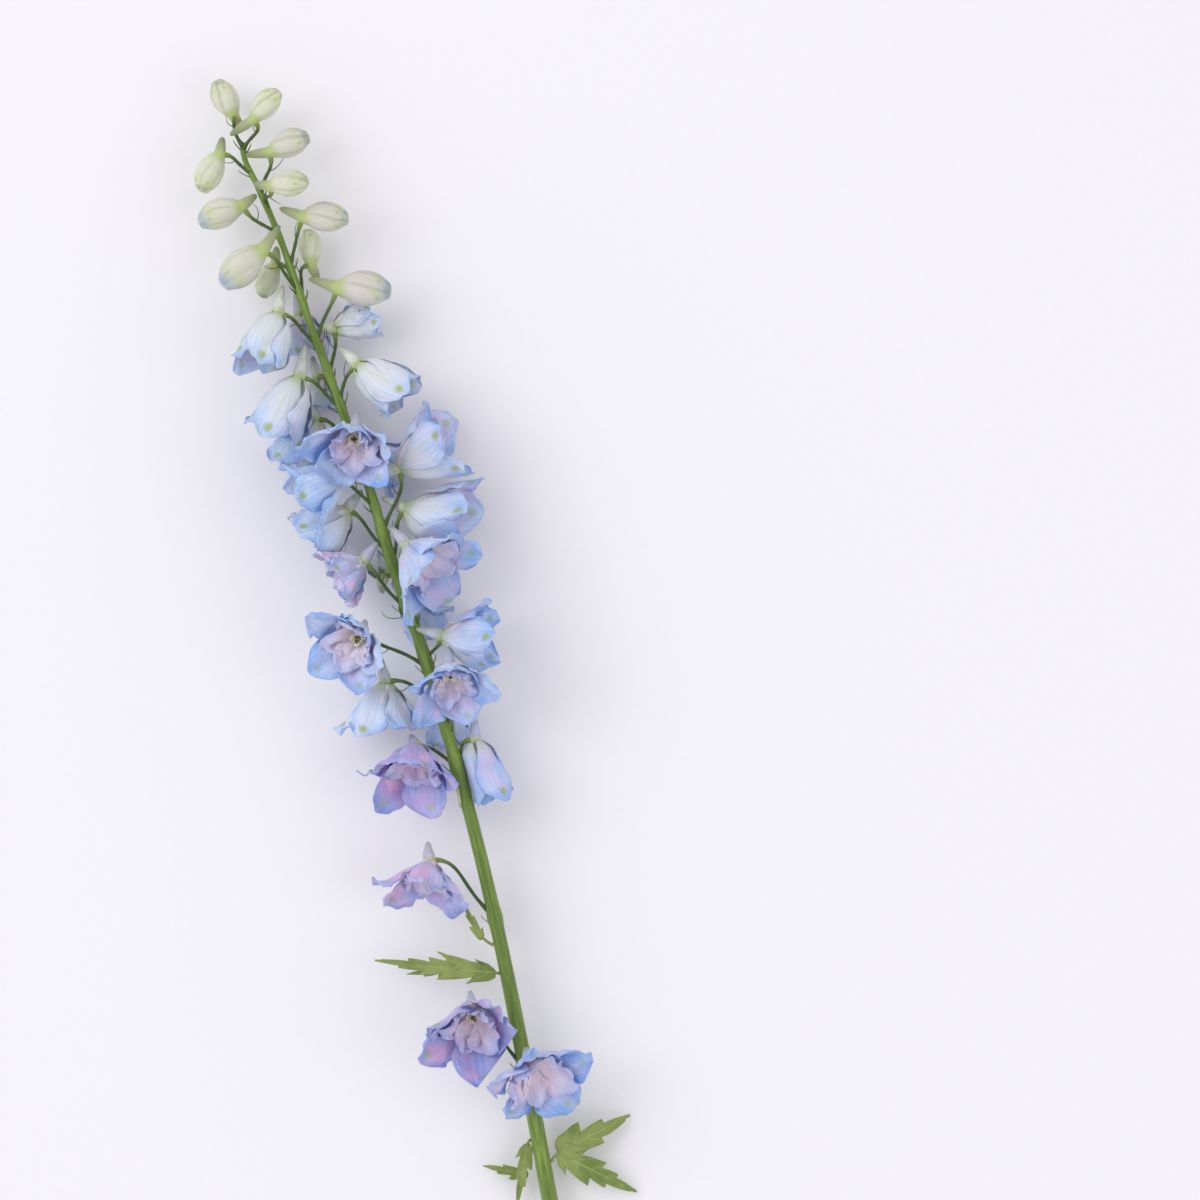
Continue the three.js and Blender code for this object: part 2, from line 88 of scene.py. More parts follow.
# root, base, aim, size, spur, fresh, pink, deep
BUDS = [
    (690, (-1, 707, 20), (-0.2, 1, 0.05), 21, 8, 0.7, 0.0, 0.1),
    (688, (9, 702, 29), (0.85, 0.53, 0.1), 20, 15, 0.9, 0.0, 0.0),
    (675, (-14, 689, 25), (-0.65, -0.76, 0.05), 22, 9, 0.8, 0.0, 0.0),
    (662, (13, 682, 31), (0.99, 0.11, 0.1), 22, 13, 0.4, 0.25, 0.2),
    (655, (9, 663, 42), (0.9, -0.17, 0.4), 21, 10, 0.7, 0.1, 0.0),
    (638, (-10, 658, 27), (-0.99, -0.13, 0.1), 24, 10, 0.6, 0.1, 0.5),
    (619, (21, 643, 32), (0.94, -0.33, 0.1), 24, 13, 0.3, 0.35, 0.2),
    (600, (18, 617, 18), (0.15, 0.95, -0.2), 19, 9, 0.9, 0.0, 0.1),
    (605, (-5, 631, 37), (-0.88, -0.45, 0.05), 28, 16, 0.5, 0.2, 0.6),
    (597, (-1, 623, 15), (-0.6, -0.8, -0.15), 19, 9, 0.9, 0.0, 0.1),
    (575, (29, 600, 36), (0.94, -0.34, 0.05), 28, 16, 0.2, 0.5, 0.4),
]
# root, base, aim, size, spur, open, inner, eye, fresh, pink, deep
FLORETS = [
    (573, (-6, 595, 34), (-0.55, -0.75, 0.35), 42, 16, 0.05, 0, 0, 0.7, 0.1, 0.35),
    (560, (5, 593, 13), (-0.1, -0.9, -0.15), 28, 11, 0.15, 0, 0, 0.1, 0.6, 0.5),
    (555, (21, 579, 20), (0.95, 0.1, -0.1), 27, 9, 0.1, 0, 0, 0.7, 0.2, 0.3),
    (536, (-4, 558, 36), (-0.66, -0.75, 0.1), 44, 17, 0.05, 0, 0, 0.55, 0.15, 0.4),
    (539, (28, 556, 38), (0.66, -0.74, 0.15), 40, 14, 0.06, 0, 0, 0.7, 0.2, 0.35),
    (522, (5, 556, 13), (-0.1, -0.95, -0.15), 25, 12, 0.15, 0, 0, 0.6, 0.0, 0.35),
    (497, (18, 521, 45), (-0.25, -0.58, 0.77), 41, 12, 0.42, 2, 1, 0.05, 0.25, 0.5),
    (504, (-2, 534, 20), (-0.56, -0.82, -0.12), 36, 7, 0.25, 0, 0, 0.3, 0.05, 0.3),
    (478, (4, 499, 43), (-0.95, -0.25, 0.1), 36, 13, 0.3, 1, 0, 0.15, 0.05, 0.35),
    (464, (35, 495, 37), (0.96, 0.25, 0.1), 45, 14, 0.25, 0, 0, 0.4, 0.45, 0.4),
    (462, (22, 508, 14), (0.6, -0.5, -0.2), 29, 12, 0.25, 0, 0, 0.0, 0.5, 0.6),
    (446, (32, 473, 32), (0.85, -0.52, 0.12), 46, 14, 0.25, 0, 0, 0.4, 0.35, 0.4),
    (452, (2, 481, 27), (-0.88, -0.45, -0.05), 39, 13, 0.35, 0, 0, 0.4, 0.0, 0.35),
    (420, (3, 451, 38), (-0.92, -0.3, 0.1), 30, 12, 0.4, 0, 0, 0.0, 0.85, 0.3),
    (426, (10, 440, 20), (-0.1, 0.8, -0.4), 23, 9, 0, 0, 0, 1.0, 0.1, 0.0),
    (412, (28, 453, 47), (0.5, -0.75, 0.45), 46, 14, 0.42, 3, 1, 0.05, 0.35, 0.35),
    (385, (-8, 413, 40), (-0.5, -0.28, 0.82), 39, 10, 0.45, 3, 1, 0.0, 0.15, 0.4),
    (388, (33, 400, 41), (0.95, -0.3, 0.1), 38, 14, 0.25, 0, 0, 0.3, 0.3, 0.45),
    (395, (18, 424, 14), (0.4, -0.7, -0.2), 30, 12, 0.2, 0, 0, 0.2, 0.3, 0.5),
    (363, (-3, 384, 32), (-0.34, -0.9, -0.2), 40, 13, 0.36, 3, 1, 0.3, 0.15, 0.4),
    (350, (33, 383, 50), (-0.08, -0.74, 0.66), 37, 10, 0.45, 2, 1, 0.05, 0.25, 0.6),
    (330, (25, 362, 14), (-0.15, -0.9, -0.15), 30, 12, 0.2, 0, 0, 0.1, 0.3, 0.6),
    (329, (35, 340, 32), (-0.02, -0.98, -0.1), 40, 14, 0, 0, 0, 0.05, 0.25, 0.7),
    (328, (3, 346, 33), (-0.25, -0.75, 0.6), 40, 6, 0.32, 2, 1, 0.0, 0.95, 0.55),
    (243, (-6, 283, 36), (-0.4, -0.85, 0.3), 37, 10, 0.55, 2, 1, 0.05, 0.75, 0.35),
    (158, (-5, 198, 31), (-0.18, -0.6, 0.78), 43, 12, 0.42, 2, 1, 0.0, 0.6, 0.5),
    (142, (17, 163, 37), (0.14, -0.74, 0.66), 38, 5, 0.7, 0, 0, 0.1, 0.4, 0.55),
]
# root, side, lobes (from, to, half-width)
LEAVES = [
    (228, (-0.8, 0.5, 0.2), [((10, 233, 28), (4, 256, 15), 3.2)]),
    (212, (-1, 0.3, 0), [((12, 213, 24), (-51, 237, 12), 7.5), ((-2, 219, 25), (-16, 233, 25), 3.5),
                         ((-8, 221, 25), (-36, 225, 14), 4)]),
    (118, (-1, -0.2, 0), [((3, 117, 14), (-12, 84, 4), 5), ((-1, 100, 10.5), (-24, 111, 6), 4.5)]),
    (104, (1, 0.2, 0), [((18, 108, 13), (62, 116, 3), 10), ((18, 108, 13), (54, 74, 3), 10)]),
]

print("buds:", len(BUDS), "florets:", len(FLORETS), "leaves:", len(LEAVES))

# %% [markdown]
# ## Blooms
# Every bud and floret gets one record. Its heart is the middle of the bloom and its breadth is how far it
# reaches from there, so that crowded neighbours can find the plane between them. The knob is the round
# receptacle at the end of the stalk, on which the petals stand.

# %% One record for each bloom
RECEPTACLE = 2.6  # radius of a floret's knob
BUD_KNOB = 0.155  # radius of a bud's knob, as a share of its length


class Bloom:
    def __init__(self, name, root, base, aim, size, spur, openness, inner, eye, fresh, pink, deep, bud=False):
        self.name, self.root, self.size, self.spur = name, root, size, spur
        self.open, self.inner, self.eye = openness, inner, eye
        self.tint = (fresh, pink, deep)
        self.base = np.array(base, float)
        self.aim = np.array(aim, float) / np.linalg.norm(aim)
        self.heart = self.base + 0.4 * size * self.aim
        self.breadth = size * (0.4 if bud else 0.5 + 0.4 * openness)
        self.knob = BUD_KNOB * size if bud else RECEPTACLE


buds = [
    Bloom(f"bud_{i:02d}", root, base, aim, size, spur, 0, 0, 0, *tint, bud=True)
    for i, (root, base, aim, size, spur, *tint) in enumerate(BUDS, 1)
]
florets = [Bloom(f"floret_{i:02d}", *row) for i, row in enumerate(FLORETS, 1)]
blooms = buds + florets
print("blooms:", len(blooms), "longest sepal (mm):", max(bloom.size for bloom in blooms))

# %% [markdown]
# ## Small tools for arrays of points
# Numpy works on whole arrays of points at once, which keeps a model of nearly a million triangles quick to
# build. The random numbers come from a small generator of our own (mulberry32). Python's own would do too,
# but the solids were made with this one, so its numbers put each petal in the same place.

# %% Vector helpers
def unit(v):
    return v / np.maximum(np.linalg.norm(v, axis=-1, keepdims=True), 1e-12)


def mix(a, b, share):
    return a + (b - a) * share


def smooth(x, low, high):
    t = np.clip((np.asarray(x, float) - low) / (high - low), 0, 1)
    return t * t * (3 - 2 * t)


def draws(seed):
    """Repeatable random numbers, drawn in the same order as for the solids."""
    state = [(seed * 2654435761) & 0xFFFFFFFF]

    def draw(low, high):
        state[0] = (state[0] + 0x6D2B79F5) & 0xFFFFFFFF
        word = state[0]
        word = ((word ^ (word >> 15)) * (1 | word)) & 0xFFFFFFFF
        word = ((word + ((word ^ (word >> 7)) * (61 | word))) & 0xFFFFFFFF) ^ word
        return low + (high - low) * ((word ^ (word >> 14)) / 4294967296)

    return draw


print("first draw of seed 1:", round(draws(1)(0, 1), 4))

# %% [markdown]
# ## The stem's centreline
# A cut stem leans and bows a little. Its line is a centripetal spline through a few measured points, because
# that kind passes through every point without the loops that other curves make where points lie close
# together.

# %% Smooth line and stem
def smooth_line(points, count):
    """A smooth curve with count steps through points. Their first three values are the place."""
    p = np.array(points, float)
    p = np.vstack([2 * p[0] - p[1], p, 2 * p[-1] - p[-2]])
    made = []
    for step in range(count + 1):
        t = step / count * (len(p) - 3)
        i = min(int(t), len(p) - 4)
        t -= i
        p0, p1, p2, p3 = p[i:i + 4]
        g0, g1, g2 = [max(np.sum((b - a)[:3] ** 2) ** 0.25, 1e-4) for a, b in ((p0, p1), (p1, p2), (p2, p3))]
        leaving = g1 * ((p1 - p0) / g0 - (p2 - p0) / (g0 + g1) + (p2 - p1) / g1)
        arriving = g1 * ((p2 - p1) / g1 - (p3 - p1) / (g1 + g2) + (p3 - p2) / g2)
        square = 3 * (p2 - p1) - 2 * leaving - arriving
        cube = 2 * (p1 - p2) + leaving + arriving
        made.append(p1 + leaving * t + square * t**2 + cube * t**3)
    return np.array(made)


STEM_LINE = smooth_line(STEM_ROUTE, 700)


def stem_at(height):
    """The point on the stem's centreline at that height, and the way the stem runs there."""
    i = int(np.clip(np.searchsorted(STEM_LINE[:, 1], height), 1, len(STEM_LINE) - 1))
    low, high = STEM_LINE[i - 1], STEM_LINE[i]
    share = np.clip((height - low[1]) / (high[1] - low[1]), 0, 1)
    return mix(low, high, share), unit(high - low)


def stem_radius(height):
    return mix(STEM_TIP, STEM_FOOT, np.power(np.clip(1 - height / (STEM_LENGTH + 8), 0, 1), 0.8))


def length_of(line):
    return round(float(np.linalg.norm(np.diff(line, axis=0), axis=1).sum()), 1)


print("stem centreline (mm):", length_of(STEM_LINE))

# %% [markdown]
# ## Blades
# Sepals, petals, bracts and leaves are thin blades. A sheet with a Solidify modifier would give them their
# thickness too. Here the two faces and the rim between them are made directly, so that the rim can be
# thinner.
#
# A part is a dictionary with its points, its faces, the number of its material and two sets of values for
# colouring it. "petal" holds how far a point lies across and along its petal, and whether it is on the outer
# face. "tint" holds the three colour values of the bloom.

# %% Blades
NO_TINT = (0, 0, 0)
RIM_THICKNESS = 0.45  # share of the thickness that is left at the rim


def grid_faces(rows, columns, wrap=False):
    i = np.arange(columns if wrap else columns - 1)
    a = (np.arange(rows - 1)[:, None] * columns + i[None, :]).ravel()
    b = (np.arange(rows - 1)[:, None] * columns + ((i + 1) % columns)[None, :]).ravel()
    return np.stack([a, b, b + columns, a + columns], axis=1)


def grid_shares(rows, columns):
    """How far each point of a grid lies along it (0 to 1) and across it (-1 to 1)."""
    return np.meshgrid(np.linspace(0, 1, rows), np.linspace(-1, 1, columns), indexing="ij")


def part(points, faces, petal, tint, material):
    count = len(points)
    return {
        "points": points,
        "faces": faces,
        "petal": np.broadcast_to(petal, (count, 3)),
        "tint": np.broadcast_to(tint, (count, 3)),
        "material": material,
    }


def blade(middle, thickness, across, along, tint, material):
    """A closed thin blade round a grid of points. Its first face looks outward, and its rim is thinner."""
    rows, columns = middle.shape[:2]
    normal = unit(np.cross(np.gradient(middle, axis=1), np.gradient(middle, axis=0)))
    rim = np.minimum(1 - np.abs(across), np.minimum(along + 0.3, 1.02 - along))
    half = 0.5 * thickness * mix(RIM_THICKNESS, 1.0, smooth(rim, 0, 0.25))[..., None]
    front, back = (middle + normal * half).reshape(-1, 3), (middle - normal * half).reshape(-1, 3)
    count = rows * columns
    outer = grid_faces(rows, columns)
    edge = np.concatenate([
        np.arange(columns), np.arange(1, rows) * columns + columns - 1,
        (rows - 1) * columns + np.arange(columns - 2, -1, -1), np.arange(rows - 2, 0, -1) * columns,
    ])
    after = np.roll(edge, -1)
    band = np.stack([edge, edge + count, after + count, after], axis=1)
    petal = np.stack([across.ravel(), along.ravel(), np.ones(count)], axis=1)
    petal = np.concatenate([petal, petal * [1, 1, 0]])
    return part(np.concatenate([front, back]), [outer, outer[:, ::-1] + count, band], petal, tint, material)


print("faces of a grid of 3 by 4 points:", len(grid_faces(3, 4)))

# %% [markdown]
# ## Tubes
# The stem, the stalks, spurs, buds and hairs are bars along a line. A curve with a bevel is the usual way to
# make one. A ring of points at each step of the line does the same, and the rings can have any radius and
# shape.

# %% Tubes
def rails(line):
    """Two directions square to a line at each of its points, carried along it without twisting."""
    ways = unit(np.gradient(line, axis=0))
    side = np.array([0.0, 0.0, 1.0]) if abs(ways[0][2]) < 0.9 else np.array([1.0, 0.0, 0.0])
    sides = []
    for way in ways:
        side = unit(side - way * side.dot(way))
        sides.append(side)
    sides = np.array(sides)
    return sides, np.cross(ways, sides)


def ring_angles(sides):
    return np.arange(sides) / sides * 2 * math.pi


def tube(line, radii, sides, tint, material, shape=1.0, across=None, along=None, outer=1.0, twist=0.0):
    """A closed bar along a line. shape scales the radius of each point, and twist turns each ring. The petal
    values of its points are across, along and outer."""
    first, second = rails(line)
    rows = len(line)
    angle = ring_angles(sides)
    round_to = angle[None, :] + np.broadcast_to(twist, rows)[:, None]
    reach = np.asarray(radii, float)[:, None] * shape * np.ones((1, sides))
    way = np.cos(round_to)[..., None] * first[:, None] + np.sin(round_to)[..., None] * second[:, None]
    ring = line[:, None] + reach[..., None] * way
    ends = [np.arange(sides)[None, ::-1], (rows - 1) * sides + np.arange(sides)[None, :]]
    across = np.cos(angle) if across is None else across
    along = np.linspace(0, 1, rows) if along is None else along
    values = [np.broadcast_to(value, (rows, sides)).ravel() for value in (across, along[:, None], outer)]
    faces = [grid_faces(rows, sides, wrap=True)] + ends
    return part(ring.reshape(-1, 3), faces, np.stack(values, axis=1), tint, material)


def moved(piece, matrix, origin):
    piece["points"] = piece["points"] @ matrix.T + origin
    return piece


print("corners of a six-sided ring (degrees):", np.degrees(ring_angles(6)).round().tolist())

# %% [markdown]
# ## From arrays to a Blender mesh
# A mesh can be filled point by point, but handing Blender whole arrays with foreach_set is many times
# quicker. Each piece then hangs on the body it rides on, gets its materials, and hides the solid it stands
# for.

# %% Make a piece
MM = 0.001
SHIFT = np.array([-11.0, -363.4, 0.0])  # puts the middle of the spike over the origin


def make_piece(name, parts, materials, stands_for):
    counts = np.cumsum([0] + [len(p["points"]) for p in parts])
    corners, sizes, kinds = [], [], []
    for p, start in zip(parts, counts):
        for faces in p["faces"]:
            corners.append((faces + start).ravel())
            sizes.append(np.full(len(faces), faces.shape[1]))
            kinds.append(np.full(len(faces), p["material"]))
    corners, sizes, kinds = (np.concatenate(x).astype(np.int32) for x in (corners, sizes, kinds))
    points = (np.concatenate([p["points"] for p in parts]) + SHIFT) * MM
    mesh = bpy.data.meshes.new(name)
    mesh.vertices.add(len(points))
    mesh.vertices.foreach_set("co", points.astype(np.float32).ravel())
    mesh.loops.add(len(corners))
    mesh.loops.foreach_set("vertex_index", corners)
    mesh.polygons.add(len(sizes))
    mesh.polygons.foreach_set("loop_start", (np.cumsum(sizes) - sizes).astype(np.int32))
    mesh.polygons.foreach_set("material_index", kinds)
    mesh.update(calc_edges=True)
    mesh.shade_smooth()
    for key in ("petal", "tint"):
        values = np.concatenate([p[key] for p in parts]).astype(np.float32)
        mesh.attributes.new(key, "FLOAT_VECTOR", "POINT").data.foreach_set("vector", values.ravel())
    for material in materials:
        mesh.materials.append(material)
    piece = bpy.data.objects.new(name, mesh)
    bpy.context.scene.collection.objects.link(piece)
    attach(piece, "root")
    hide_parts(stands_for)
    return piece


print("shift of the spike (m):", (SHIFT * MM).round(4).tolist())

# %% [markdown]
# ## Nodes for materials
# Every colour below is an ordinary sRGB hex value. Blender mixes light in linear numbers, so one function
# turns a hex value into them. A material could be painted on an unwrapped image. It is mixed from nodes
# instead, because they follow each petal by its own values and stay sharp from close by.
#
# One small function adds a node of any kind, by its own name or by a word from a list. The values go to its
# inputs from the top down, or to an input by its name, and other names are settings. Its answer is the node's
# output, which can be handed to the next node. A Noise node is sized in waves to a metre, so 1 divided by its
# scale is the size of a patch in metres.
#
# A material is a base colour with layers over it, like glazes on a pot. Each layer is a way of mixing, a
# share and a colour. A relief tilts the light, and its height is in metres. What is the same all over a
# surface is set on the shader itself. Red light goes a little further into the tissue than green and blue.

# %% Colour and node helpers
SUMS = ("absolute", "add", "divide", "maximum", "multiply", "multiply_add", "power", "sine", "subtract")
WORDS = {word: ("Math", {"operation": word.upper()}) for word in SUMS}
WORDS["ramp"] = ("MapRange", {"interpolation_type": "SMOOTHSTEP"})
WORDS["blend"] = ("Mix", {"data_type": "RGBA"})
WORDS["darken"] = ("Mix", {"data_type": "RGBA", "blend_type": "MULTIPLY"})


def linear(hex_value):
    parts = [int(hex_value[i:i + 2], 16) / 255 for i in (1, 3, 5)]
    return tuple(c / 12.92 if c <= 0.04045 else ((c + 0.055) / 1.055) ** 2.4 for c in parts) + (1.0,)


class Recipe:
    """A material in the making. Its colour can follow the petal, the bloom's tint and the place."""

    def __init__(self, name, roughness, ior, subsurface=0.0, depth=0.001, sheen=0.0):
        self.material = bpy.data.materials.new(name)
        self.material.use_nodes = True
        self.tree = self.material.node_tree
        self.shader = self.tree.nodes["Principled BSDF"]
        for key, value in {
            "Roughness": roughness, "IOR": ior, "Sheen Weight": sheen, "Sheen Roughness": 0.6,
            "Subsurface Weight": subsurface, "Subsurface Radius": (1.0, 0.9, 0.9), "Subsurface Scale": depth,
        }.items():
            self.shader.inputs[key].default_value = value
        self.petal, self.tint = (
            self.add("SeparateXYZ", self.add("Attribute", out="Vector", attribute_name=key)).node.outputs
            for key in ("petal", "tint"))
        self.place = self.add("TexCoord", out="Object")

    def add(self, word, *values, out=None, **named):
        kind, settings = WORDS.get(word, (word, {}))
        node = self.tree.nodes.new("ShaderNode" + kind)
        inputs = {key: value for key, value in named.items() if key in node.inputs}
        for key, value in {**settings, **named}.items():
            if key not in inputs:
                setattr(node, key, value)
        chosen = list(zip([socket for socket in node.inputs if socket.enabled], values))
        for socket, value in chosen + [(node.inputs[key], value) for key, value in inputs.items()]:
            if isinstance(value, bpy.types.NodeSocket):
                self.tree.links.new(value, socket)
            else:
                socket.default_value = linear(value) if isinstance(value, str) else value
        return node.outputs[out] if out else next(socket for socket in node.outputs if socket.enabled)

    def finish(self, colour, layers=(), relief=None, strength=0.3, height=0.0003):
        for word, share, over in layers:
            colour = self.add(word, share, colour, over)
        self.tree.links.new(colour, self.shader.inputs["Base Color"])
        if relief is not None:
            bump = self.add("Bump", Height=relief, Strength=strength, Distance=height)
            self.tree.links.new(bump, self.shader.inputs["Normal"])
        return self.material


print("mid grey #808080 in linear numbers:", round(linear("#808080")[0], 3))

# %% [markdown]
# ## Sepal tissue
# The five large coloured leaves of a delphinium floret are sepals. Living tissue is water in clear cells, so
# it has a low gloss: an IOR of 1.40 between water (1.33) and dry cell walls (1.47), and a satin roughness of
# 0.5. Light goes about a millimetre in before it comes back. Much more than that would let it out through the
# thin sepals, and the bells would turn grey inside.
#
# The colour is pigment in the cells: blue at the rim, a faintly blue white at the base while the floret is
# young, yellow-green at the foot, a green gland near the tip, and a wash of lilac-pink. The veins fan out
# from the base and lie 3 to 4 mm apart at the widest place.

# %% Sepal material
def oval(add, across, along, half_width, middle, half_length):
    """A value that is 1 on an oval round the middle line of a petal and 0 in the centre of the oval."""
    side = add("power", add("divide", across, half_width), 2.0)
    end = add("power", add("divide", add("subtract", along, middle), half_length), 2.0)
    return add("add", side, end)


def thin_lines(add, wave, sharpness):
    return add("power", add("maximum", add("sine", wave), 0.0), sharpness)


def sepal_tissue(name, light, strong, wash, flush):
    made = Recipe(name, roughness=0.5, ior=1.4, subsurface=0.12, depth=0.001, sheen=0.15)
    add, (across, along, outer), (fresh, pink, deep) = made.add, made.petal, made.tint
    off_middle = add("absolute", across)
    cloud = add("TexNoise", made.place, 70.0, 3.0)  # patches about 14 mm wide: 1 m / 70
    stretched = add("CombineXYZ", add("multiply", across, 9.0), add("multiply", along, 1.2), deep)
    streak = add("TexNoise", stretched, 1.6, 4.0)  # 1 mm wide, 20 mm long
    grain = add("ramp", streak, 0.3, 0.7)

    # blue, stronger at the rim, on the inner face and in clouds and streaks
    rim = add("maximum", add("ramp", off_middle, 0.55, 1.0), add("ramp", along, 0.72, 1.0))
    blue = add("multiply_add", deep, 0.75, add("ramp", cloud, 0.35, 0.7, -0.15, 0.35))
    blue = add("multiply_add", add("ramp", streak, 0.35, 0.7), 0.16, blue)
    blue = add("multiply_add", rim, 0.3, add("multiply_add", outer, -0.12, blue))

    # lilac-pink, away from the rim
    pinker = add("multiply", pink, add("ramp", rim, 0.0, 1.0, 1.0, 0.35))
    washed = add("multiply", pinker, add("ramp", cloud, 0.62, 0.38, 0.25, 1.0))
    spots = add("ramp", add("TexNoise", made.place, 55.0, 2.0), 0.48, 0.62)  # 18 mm wide

    # pale base of a young sepal, with a green foot and rib
    reach = add("subtract", add("multiply_add", fresh, 0.85, 0.12), along)
    pale = add("ramp", add("multiply_add", grain, 0.12, reach), -0.25, 0.3)
    foot = add("ramp", add("multiply_add", grain, -0.12, along), 0.24, 0.0)
    foot = add("multiply", foot, add("multiply_add", fresh, 0.7, 0.25))
    rib = add("multiply", add("ramp", off_middle, 0.2, 0.02), add("multiply", fresh, 0.3))

    # gland, an oval of about 5 mm with a streaky edge
    gland = add("add", oval(add, across, along, 0.2, 0.85, 0.06), add("multiply", streak, 1.2))
    gland = add("multiply", add("ramp", gland, 2.5, 0.3), add("ramp", outer, 0, 1, 0.45, 0.85))

    # veins and wrinkles
    vein = thin_lines(add, add("multiply_add", across, 26.0, add("multiply", streak, 5.0)), 5.0)
    stretched = add("CombineXYZ", add("multiply", across, 7.0), add("multiply", along, 7.0), pink)
    wrinkle = add("TexNoise", stretched, 1.3, 4.0, Distortion=1.2)  # 2 mm wide, 4 mm long
    layers = [
        ("blend", washed, wash), ("blend", add("multiply", spots, pinker), flush),
        ("blend", add("multiply", pale, 0.92), "#e3e6eb"), ("blend", foot, "#b7cc62"),
        ("blend", rib, "#c9d59a"), ("blend", gland, "#a0b052"),
        ("darken", add("multiply", vein, 0.14), strong),
    ]
    relief = add("multiply_add", vein, 0.25, wrinkle)
    return made.finish(add("blend", blue, light, strong), layers, relief, 0.55, 0.0009)


sky_sepal = sepal_tissue("sepal_tissue_sky_blue", "#d9eafd", "#8ab5f3", "#cbbfe8", "#e6bfe0")
lilac_sepal = sepal_tissue("sepal_tissue_lilac", "#cfdbf7", "#869ee4", "#c2a8de", "#e6bce0")
print("sepal materials:", sky_sepal.name, lilac_sepal.name)

# %% [markdown]
# ## Inner petal tissue
# The small inner petals are thinner than the sepals and crumpled like tissue paper, white with a pink wash, a
# blue rim and a cream foot. They are a little rougher (0.55) because their cells stand up like a fine velvet,
# which also gives them some sheen. They could share the sepals' material, but their marks lie in other
# places.

# %% Inner petal material
made = Recipe("inner_petal_tissue", roughness=0.55, ior=1.4, subsurface=0.15, depth=0.001, sheen=0.2)
add, (across, along, _), (_, pink, deep) = made.add, made.petal, made.tint
cloud = add("TexNoise", made.place, 110.0, 3.0)  # patches about 9 mm wide
rim = add("multiply", add("ramp", along, 0.45, 1.0), add("multiply_add", deep, 0.8, 0.25))
vein = thin_lines(add, add("multiply_add", across, 15.0, add("multiply", cloud, 7.0)), 5.0)  # every 4 mm
stretched = add("CombineXYZ", add("multiply", across, 6.0), add("multiply", along, 6.0), pink)
wrinkle = add("TexNoise", stretched, 1.4, 4.0, Distortion=1.5)  # 1 mm wide, 3 mm long
layers = [
    ("blend", add("multiply", pink, add("ramp", cloud, 0.62, 0.42, 0.1, 0.9)), "#f5cfea"),
    ("blend", rim, "#9db6ee"), ("blend", add("ramp", along, 0.22, 0.0), "#e6e6c4"),
    ("darken", add("multiply", vein, 0.2), "#cdc3ea"),
]
white = add("blend", add("ramp", cloud, 0.4, 0.65), "#fefbfd", "#f3eaf9")
inner_petal = made.finish(white, layers, add("multiply_add", vein, 0.2, wrinkle), 0.5, 0.0008)
print("inner petal material:", inner_petal.name)

# %% [markdown]
# ## Spur skin
# The spur is the hollow horn behind the upper sepal, which holds the nectar. Its skin is the outside of that
# sepal, so the IOR and roughness are the same, but it is pale where the floret is young and olive towards the
# tip, with faint grooves and rings. These could be modelled, but at 1 mm or less they show only as streaks
# and shading.

# %% Spur material
made = Recipe("spur_skin", roughness=0.5, ior=1.4, subsurface=0.12, depth=0.001, sheen=0.15)
add, (across, along, _), (fresh, pink, deep) = made.add, made.petal, made.tint
streak = add("CombineXYZ", add("multiply", across, 3.0), along, pink)
streak = add("TexNoise", streak, 3.0, 3.0)  # under 1 mm wide
rings = add("CombineXYZ", add("multiply", across, 1.5), add("multiply", along, 9.0), deep)
rings = add("TexNoise", rings, 1.5, 4.0)  # 1 mm apart
olive = add("multiply", add("ramp", along, 0.35, 1.0), add("multiply_add", fresh, 0.4, 0.35))
layers = [
    ("blend", add("multiply", pink, 0.6), "#bfa9cf"), ("blend", fresh, "#dfe3ca"),
    ("blend", olive, "#969f7c"), ("blend", add("ramp", along, 0.22, 0.0, 0.0, 0.75), "#c3d184"),
    ("blend", add("ramp", streak, 0.4, 0.7, 0.0, 0.4), "#8b9670"),
]
blue = add("blend", deep, "#dbe2ea", "#a7b3dd")
spur = made.finish(blue, layers, add("add", rings, streak), 0.5, 0.0008)
print("spur material:", spur.name)

# %% [markdown]
# ## Bud skin
# A closed bud shows the outside of five young sepals: cream and green-white, yellow-green at the foot, olive
# on the spur, with a green gland near each tip. Some older buds turn blue at the nose. Their skin is tighter
# than an open sepal's, so it is a touch glossier (0.48). The seams between the sepals are drawn a little
# darker too, because the steps in the mesh there are too small to hold much shadow.

# %% Bud material
made = Recipe("bud_skin", roughness=0.48, ior=1.4, subsurface=0.2, depth=0.0015, sheen=0.2)
add, (across, along, _), (fresh, pink, deep) = made.add, made.petal, made.tint
streak = add("CombineXYZ", add("multiply", across, 2.5), add("multiply", along, 2.0), fresh)
streak = add("TexNoise", streak, 2.5, 4.0)  # 1 mm wide, 5 mm long
cloud = add("TexNoise", made.place, 120.0, 2.0)  # patches about 8 mm wide
# painted shade along the seams between the sepals, which the shallow steps of the mesh can't hold
painted_seam_shade = add("multiply", add("ramp", add("absolute", across), 0.82, 1.0), add("ramp", along, 0.1, 0.35))
gland = add("add", oval(add, across, along, 0.26, 0.83, 0.06), add("multiply", cloud, 0.8))
flush = add("multiply", add("ramp", along, 0.55, 0.85), add("ramp", streak, 0.4, 0.62))
tip = add("multiply", add("ramp", along, 0.86, 1.0), add("ramp", cloud, 0.35, 0.6))
blue = add("multiply", add("ramp", along, 0.72, 0.98), deep)
